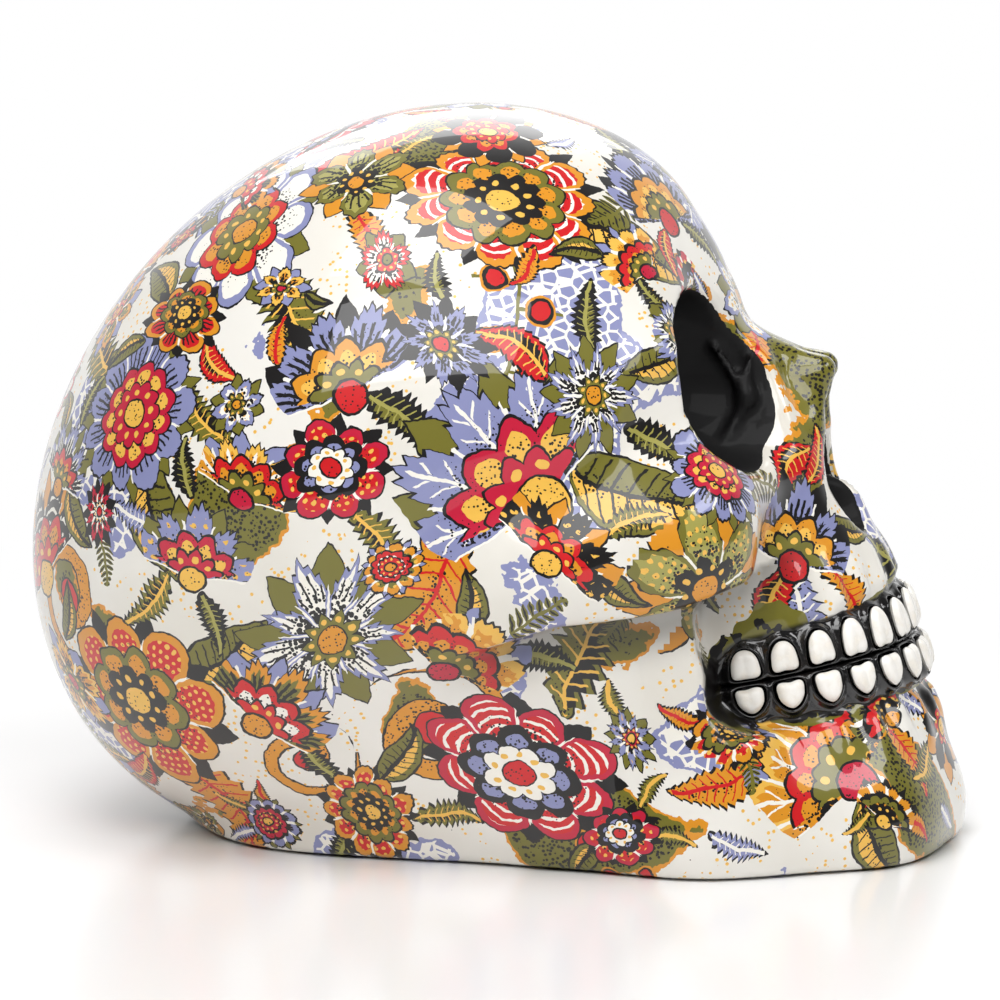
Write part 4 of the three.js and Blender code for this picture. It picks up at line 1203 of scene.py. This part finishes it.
# Tooth: its outline is scaled along a profile from the seat, up the side and over a domed face
def toothMesh(name, jaw, hand, turn, tall):
    form = toothForm[jaw]
    around = np.linspace(0, 2 * math.pi, toothForm["around"], endpoint=False)
    n, m = np.cos(around), np.sin(around)
    power = np.where(m > 0, form["squareGum"], toothForm["squareBite"])
    stretch = (np.abs(n) ** power + np.abs(m) ** power) ** (-1 / power)
    n, m = n * stretch, m * stretch
    wide, high = 1 + toothForm["vary"] * rng.uniform(-1, 1, 2)
    lean = toothForm["vary"] * rng.uniform(-1, 1)
    notch = form["notch"] * rng.uniform(*toothForm["notchVary"])
    cleft = rng.uniform(*toothForm["cleft"])
    notch = notch * np.exp(-((n - cleft) / toothForm["notchWidth"]) ** 2)
    m = m + notch * smoothStep(*toothForm["notchRise"], m)
    n = n * (1 - form["taper"] * (m + 1) / 2) + lean * m
    sideRows, proud = toothForm["sideRows"], toothForm["proud"]
    cap = 1 - np.linspace(0, toothForm["capEnd"], toothForm["capRows"]) ** 2
    scale = np.concatenate([np.linspace(*toothForm["sideScale"], sideRows), cap])
    rise = np.linspace(-toothForm["seat"], proud * toothForm["shoulder"], sideRows)
    dome = proud * (toothForm["shoulder"] + toothForm["dome"] * (1 - cap ** toothForm["domePower"]))
    depth = np.concatenate([rise, dome])[:, None]
    across = scale[:, None] * n * wide * mouth["toothWidth"] / 2
    up = scale[:, None] * m * high * tall / 2
    # a shallow groove down the face
    groove = toothForm["groove"] * np.exp(-((across - 0.5 * cleft) / toothForm["grooveWidth"]) ** 2)
    depth = depth - groove * (depth > toothForm["grooveFrom"])
    level = mouth["biteGap"] / 2 + tall / 2
    # the face's axis leans back with the gums, and across runs along the arch
    lean = math.radians(mouth["lean"])
    outward = gumRadius(hand * level) + depth * math.cos(lean) - hand * up * math.sin(lean)
    height = hand * level + hand * up * math.cos(lean) + depth * math.sin(lean)
    x = np.sin(turn) * outward + np.cos(turn) * across
    rings = outOfMouth(x, -np.cos(turn) * outward + np.sin(turn) * across, height)
    rows, columns = rings.shape[:2]
    faces = gridFaces(rows, columns, closedColumns=True)
    points = np.concatenate([rings.reshape(-1, 3), rings[[0, -1]].mean(1)])
    ring = np.arange(columns)
    caps = [fanFaces(rows * columns, ring[::-1]), fanFaces(rows * columns + 1, ring + (rows - 1) * columns)]
    mesh = newMesh(name, points, *facedOut(points, faces, np.concatenate(caps)))
    # height over the gum, with the two hubs last, for the paint round the crown
    paintEdge = np.append(np.repeat(np.maximum(depth[:, 0], -1), columns), (-1, 1.5))
    setAttribute(mesh, "paint_edge", "FLOAT", "POINT", paintEdge)
    return mesh


# Black gloss paint, brushed: small ripples and a little wear to brown
blackGloss, wire = newMaterial("black_gloss_paint")
dusty = wire.noise(260, 4).rise(0.45, 0.8)
finishMaterial(wire, {
    "Base Color": dusty.between(paint(13, 12, 13), paint(34, 30, 28)), "Roughness": 0.12 + dusty * 0.16,
    "Coat Weight": 0.6, "Coat Roughness": 0.08, "Normal": wire.noise(300, 3).bump(0.5, 0.6)})

# White enamel, mottled with cream, and black paint that has crept up the sides
enamel, wire = newMaterial("white_enamel")
mottle = wire.noise(420, 3)
base = (mottle.rise(0.4, 0.75) * 0.6).between(paint(246, 243, 237), paint(232, 224, 209))
base = base.under(paint(22, 20, 20), (wire.attribute("paint_edge") + mottle * 0.25).rise(0.75, 0.5))
finishMaterial(wire, {
    "Base Color": base, "Roughness": 0.2 + mottle * 0.12, "Coat Weight": 0.25, "Coat Roughness": 0.1,
    "Normal": wire.noise(500, 2).bump(0.25, 0.2)})

for jaw, hand in (("upper", 1), ("lower", -1)):
    newPiece(jaw + "_gum_band", gumMesh(jaw, hand), blackGloss, "black_gloss", jaw + "_gum")
    for place in range(mouth["teethPerSide"]):
        for sideName, side in (("right", -1), ("left", 1)):
            turn = side * (place + 0.5) * toothPitch
            node = f"tooth_{jaw}_{sideName}_{place + 1}"
            mesh = toothMesh(node + "_crown", jaw, hand, turn, alongArch(mouth[jaw + "Tooth"], turn))
            newPiece(node + "_crown", mesh, enamel, "tooth_enamel", node)
print("gums and teeth in place")

# Base: the closing plate and the felt keep their own solids
board, wire = newMaterial("grey_board")
base = wire.noise(900, 4).between(paint(96, 88, 78), paint(124, 114, 102))
finishMaterial(wire, {"Base Color": base, "Roughness": 0.8})
felt, wire = newMaterial("black_felt")
fibre = wire.noise(2400, 4, 0.7)
finishMaterial(wire, {
    "Base Color": fibre.between(paint(16, 16, 17), paint(46, 45, 46)), "Roughness": 0.95, "Sheen Weight": 0.3,
    "Normal": fibre.bump(0.8, 0.3)})
for node, material in (("base_plate", board), ("base_felt", felt)):
    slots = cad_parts[node].data.materials
    slots.clear()
    slots.append(material)

# Camera, from the photograph's side: 4680 pixels of focal length on a frame of 1000
view = {"azimuth": -82, "elevation": 8, "distance": 1.0, "target": (0, 0, 0.070), "focal": 4.68, "sensor": 36}


# from the target towards an azimuth, 0 being the front, and an elevation
def towards(place):
    azimuth, elevation = math.radians(place["azimuth"]), math.radians(place["elevation"])
    level = math.cos(elevation)
    return Vector((math.sin(azimuth) * level, -math.cos(azimuth) * level, math.sin(elevation)))


# a camera or lamp that looks at the target from a place
def lookFrom(name, data, place):
    made = bpy.data.objects.new(name, data)
    made.location = Vector(view["target"]) + towards(place) * place["distance"]
    made.rotation_euler = towards(place).to_track_quat("Z", "Y").to_euler()
    scene.collection.objects.link(made)
    return made


lens = bpy.data.cameras.new("camera")
lens.sensor_width = view["sensor"]
lens.lens = view["focal"] * view["sensor"]
scene.camera = lookFrom("camera", lens, view)

# Lamps: panels that face the skull
lamps = {
    "key": {"azimuth": -92, "elevation": 42, "distance": 1.2, "size": (1.0, 0.6), "power": 8.4},
    "overhead": {"azimuth": -120, "elevation": 74, "distance": 1.1, "size": (0.6, 0.6), "power": 6.0},
    "fill": {"azimuth": 100, "elevation": 40, "distance": 1.2, "size": (0.9, 0.6), "power": 4.5},
    "front": {"azimuth": -18, "elevation": 41, "distance": 1.2, "size": (0.6, 0.32), "power": 3.8},
}
for name, lamp in lamps.items():
    panel = bpy.data.lights.new(name, "AREA")
    panel.shape = "RECTANGLE"
    panel.size, panel.size_y = lamp["size"]
    panel.energy = lamp["power"]
    lookFrom(name, panel, lamp)


# 1 for rays straight from the eye, and 1 for those that come by a mirror or through glass
def seenRays(wire):
    straight, glossy, through = (wire.node("ShaderNodeLightPath", out=f"Is {name} Ray")
                                 for name in ("Camera", "Glossy", "Transmission"))
    return straight, glossy.maths("MAXIMUM", through)


# Surroundings: white to the eye. Mirrored rays see white only behind the skull, a dim room elsewhere.
room = {"ambient": 0.15, "dim": 0.14, "behind": (0.1, 0.7), "floorHalf": 12.0, "floorLines": 25,
        "nearFloor": 0.13, "farFloor": 0.42}
world = bpy.data.worlds.new("studio")
world.use_nodes = True
world.node_tree.nodes.clear()
wire = Wire(world.node_tree)
straight, mirrored = seenRays(wire)
behind = wire.node("ShaderNodeTexCoord", out="Generated").vector(
    "DOT_PRODUCT", tuple(-towards(view)), out="Value")
reflection = behind.rise(*room["behind"]) * (1 - room["dim"]) + room["dim"]
strength = mirrored * (reflection - room["ambient"]) + room["ambient"]
strength = straight * (1 - strength) + strength
shade = wire.node("ShaderNodeBackground", {}, {"Color": (1, 1, 1, 1), "Strength": strength})
wire.node("ShaderNodeOutputWorld", {}, {"Surface": shade})
scene.world = world

# Table: glossy white near the skull, plain white to the eye further off
tableMaterial, wire = newMaterial("white_table")
near = wire.node("ShaderNodeBsdfPrincipled", {}, {
    "Base Color": (0.95, 0.95, 0.95, 1), "Roughness": 0.2, "Specular IOR Level": 0.4})
far = wire.node("ShaderNodeEmission", {}, {"Color": (1, 1, 1, 1), "Strength": 1.0})
away = wire.place().vector("LENGTH", out="Value").rise(room["nearFloor"], room["farFloor"])
straight, mirrored = seenRays(wire)
seen = straight.maths("MAXIMUM", mirrored)
mixed = wire.node("ShaderNodeMixShader", {}, {0: away * seen, 1: near, 2: far})
wire.node("ShaderNodeOutputMaterial", {}, {"Surface": mixed})
side = np.linspace(-1, 1, room["floorLines"]) ** 3 * room["floorHalf"] / mm
floorX, floorY = np.meshgrid(side, side)
floorPoints = np.stack([floorX, floorY, np.zeros_like(floorX)], -1).reshape(-1, 3)
floorMesh = newMesh("table", floorPoints, gridFaces(room["floorLines"], room["floorLines"]))
floorMesh.materials.append(tableMaterial)
floor = bpy.data.objects.new("table", floorMesh)
scene.collection.objects.link(floor)

scene.view_settings.view_transform = "Standard"
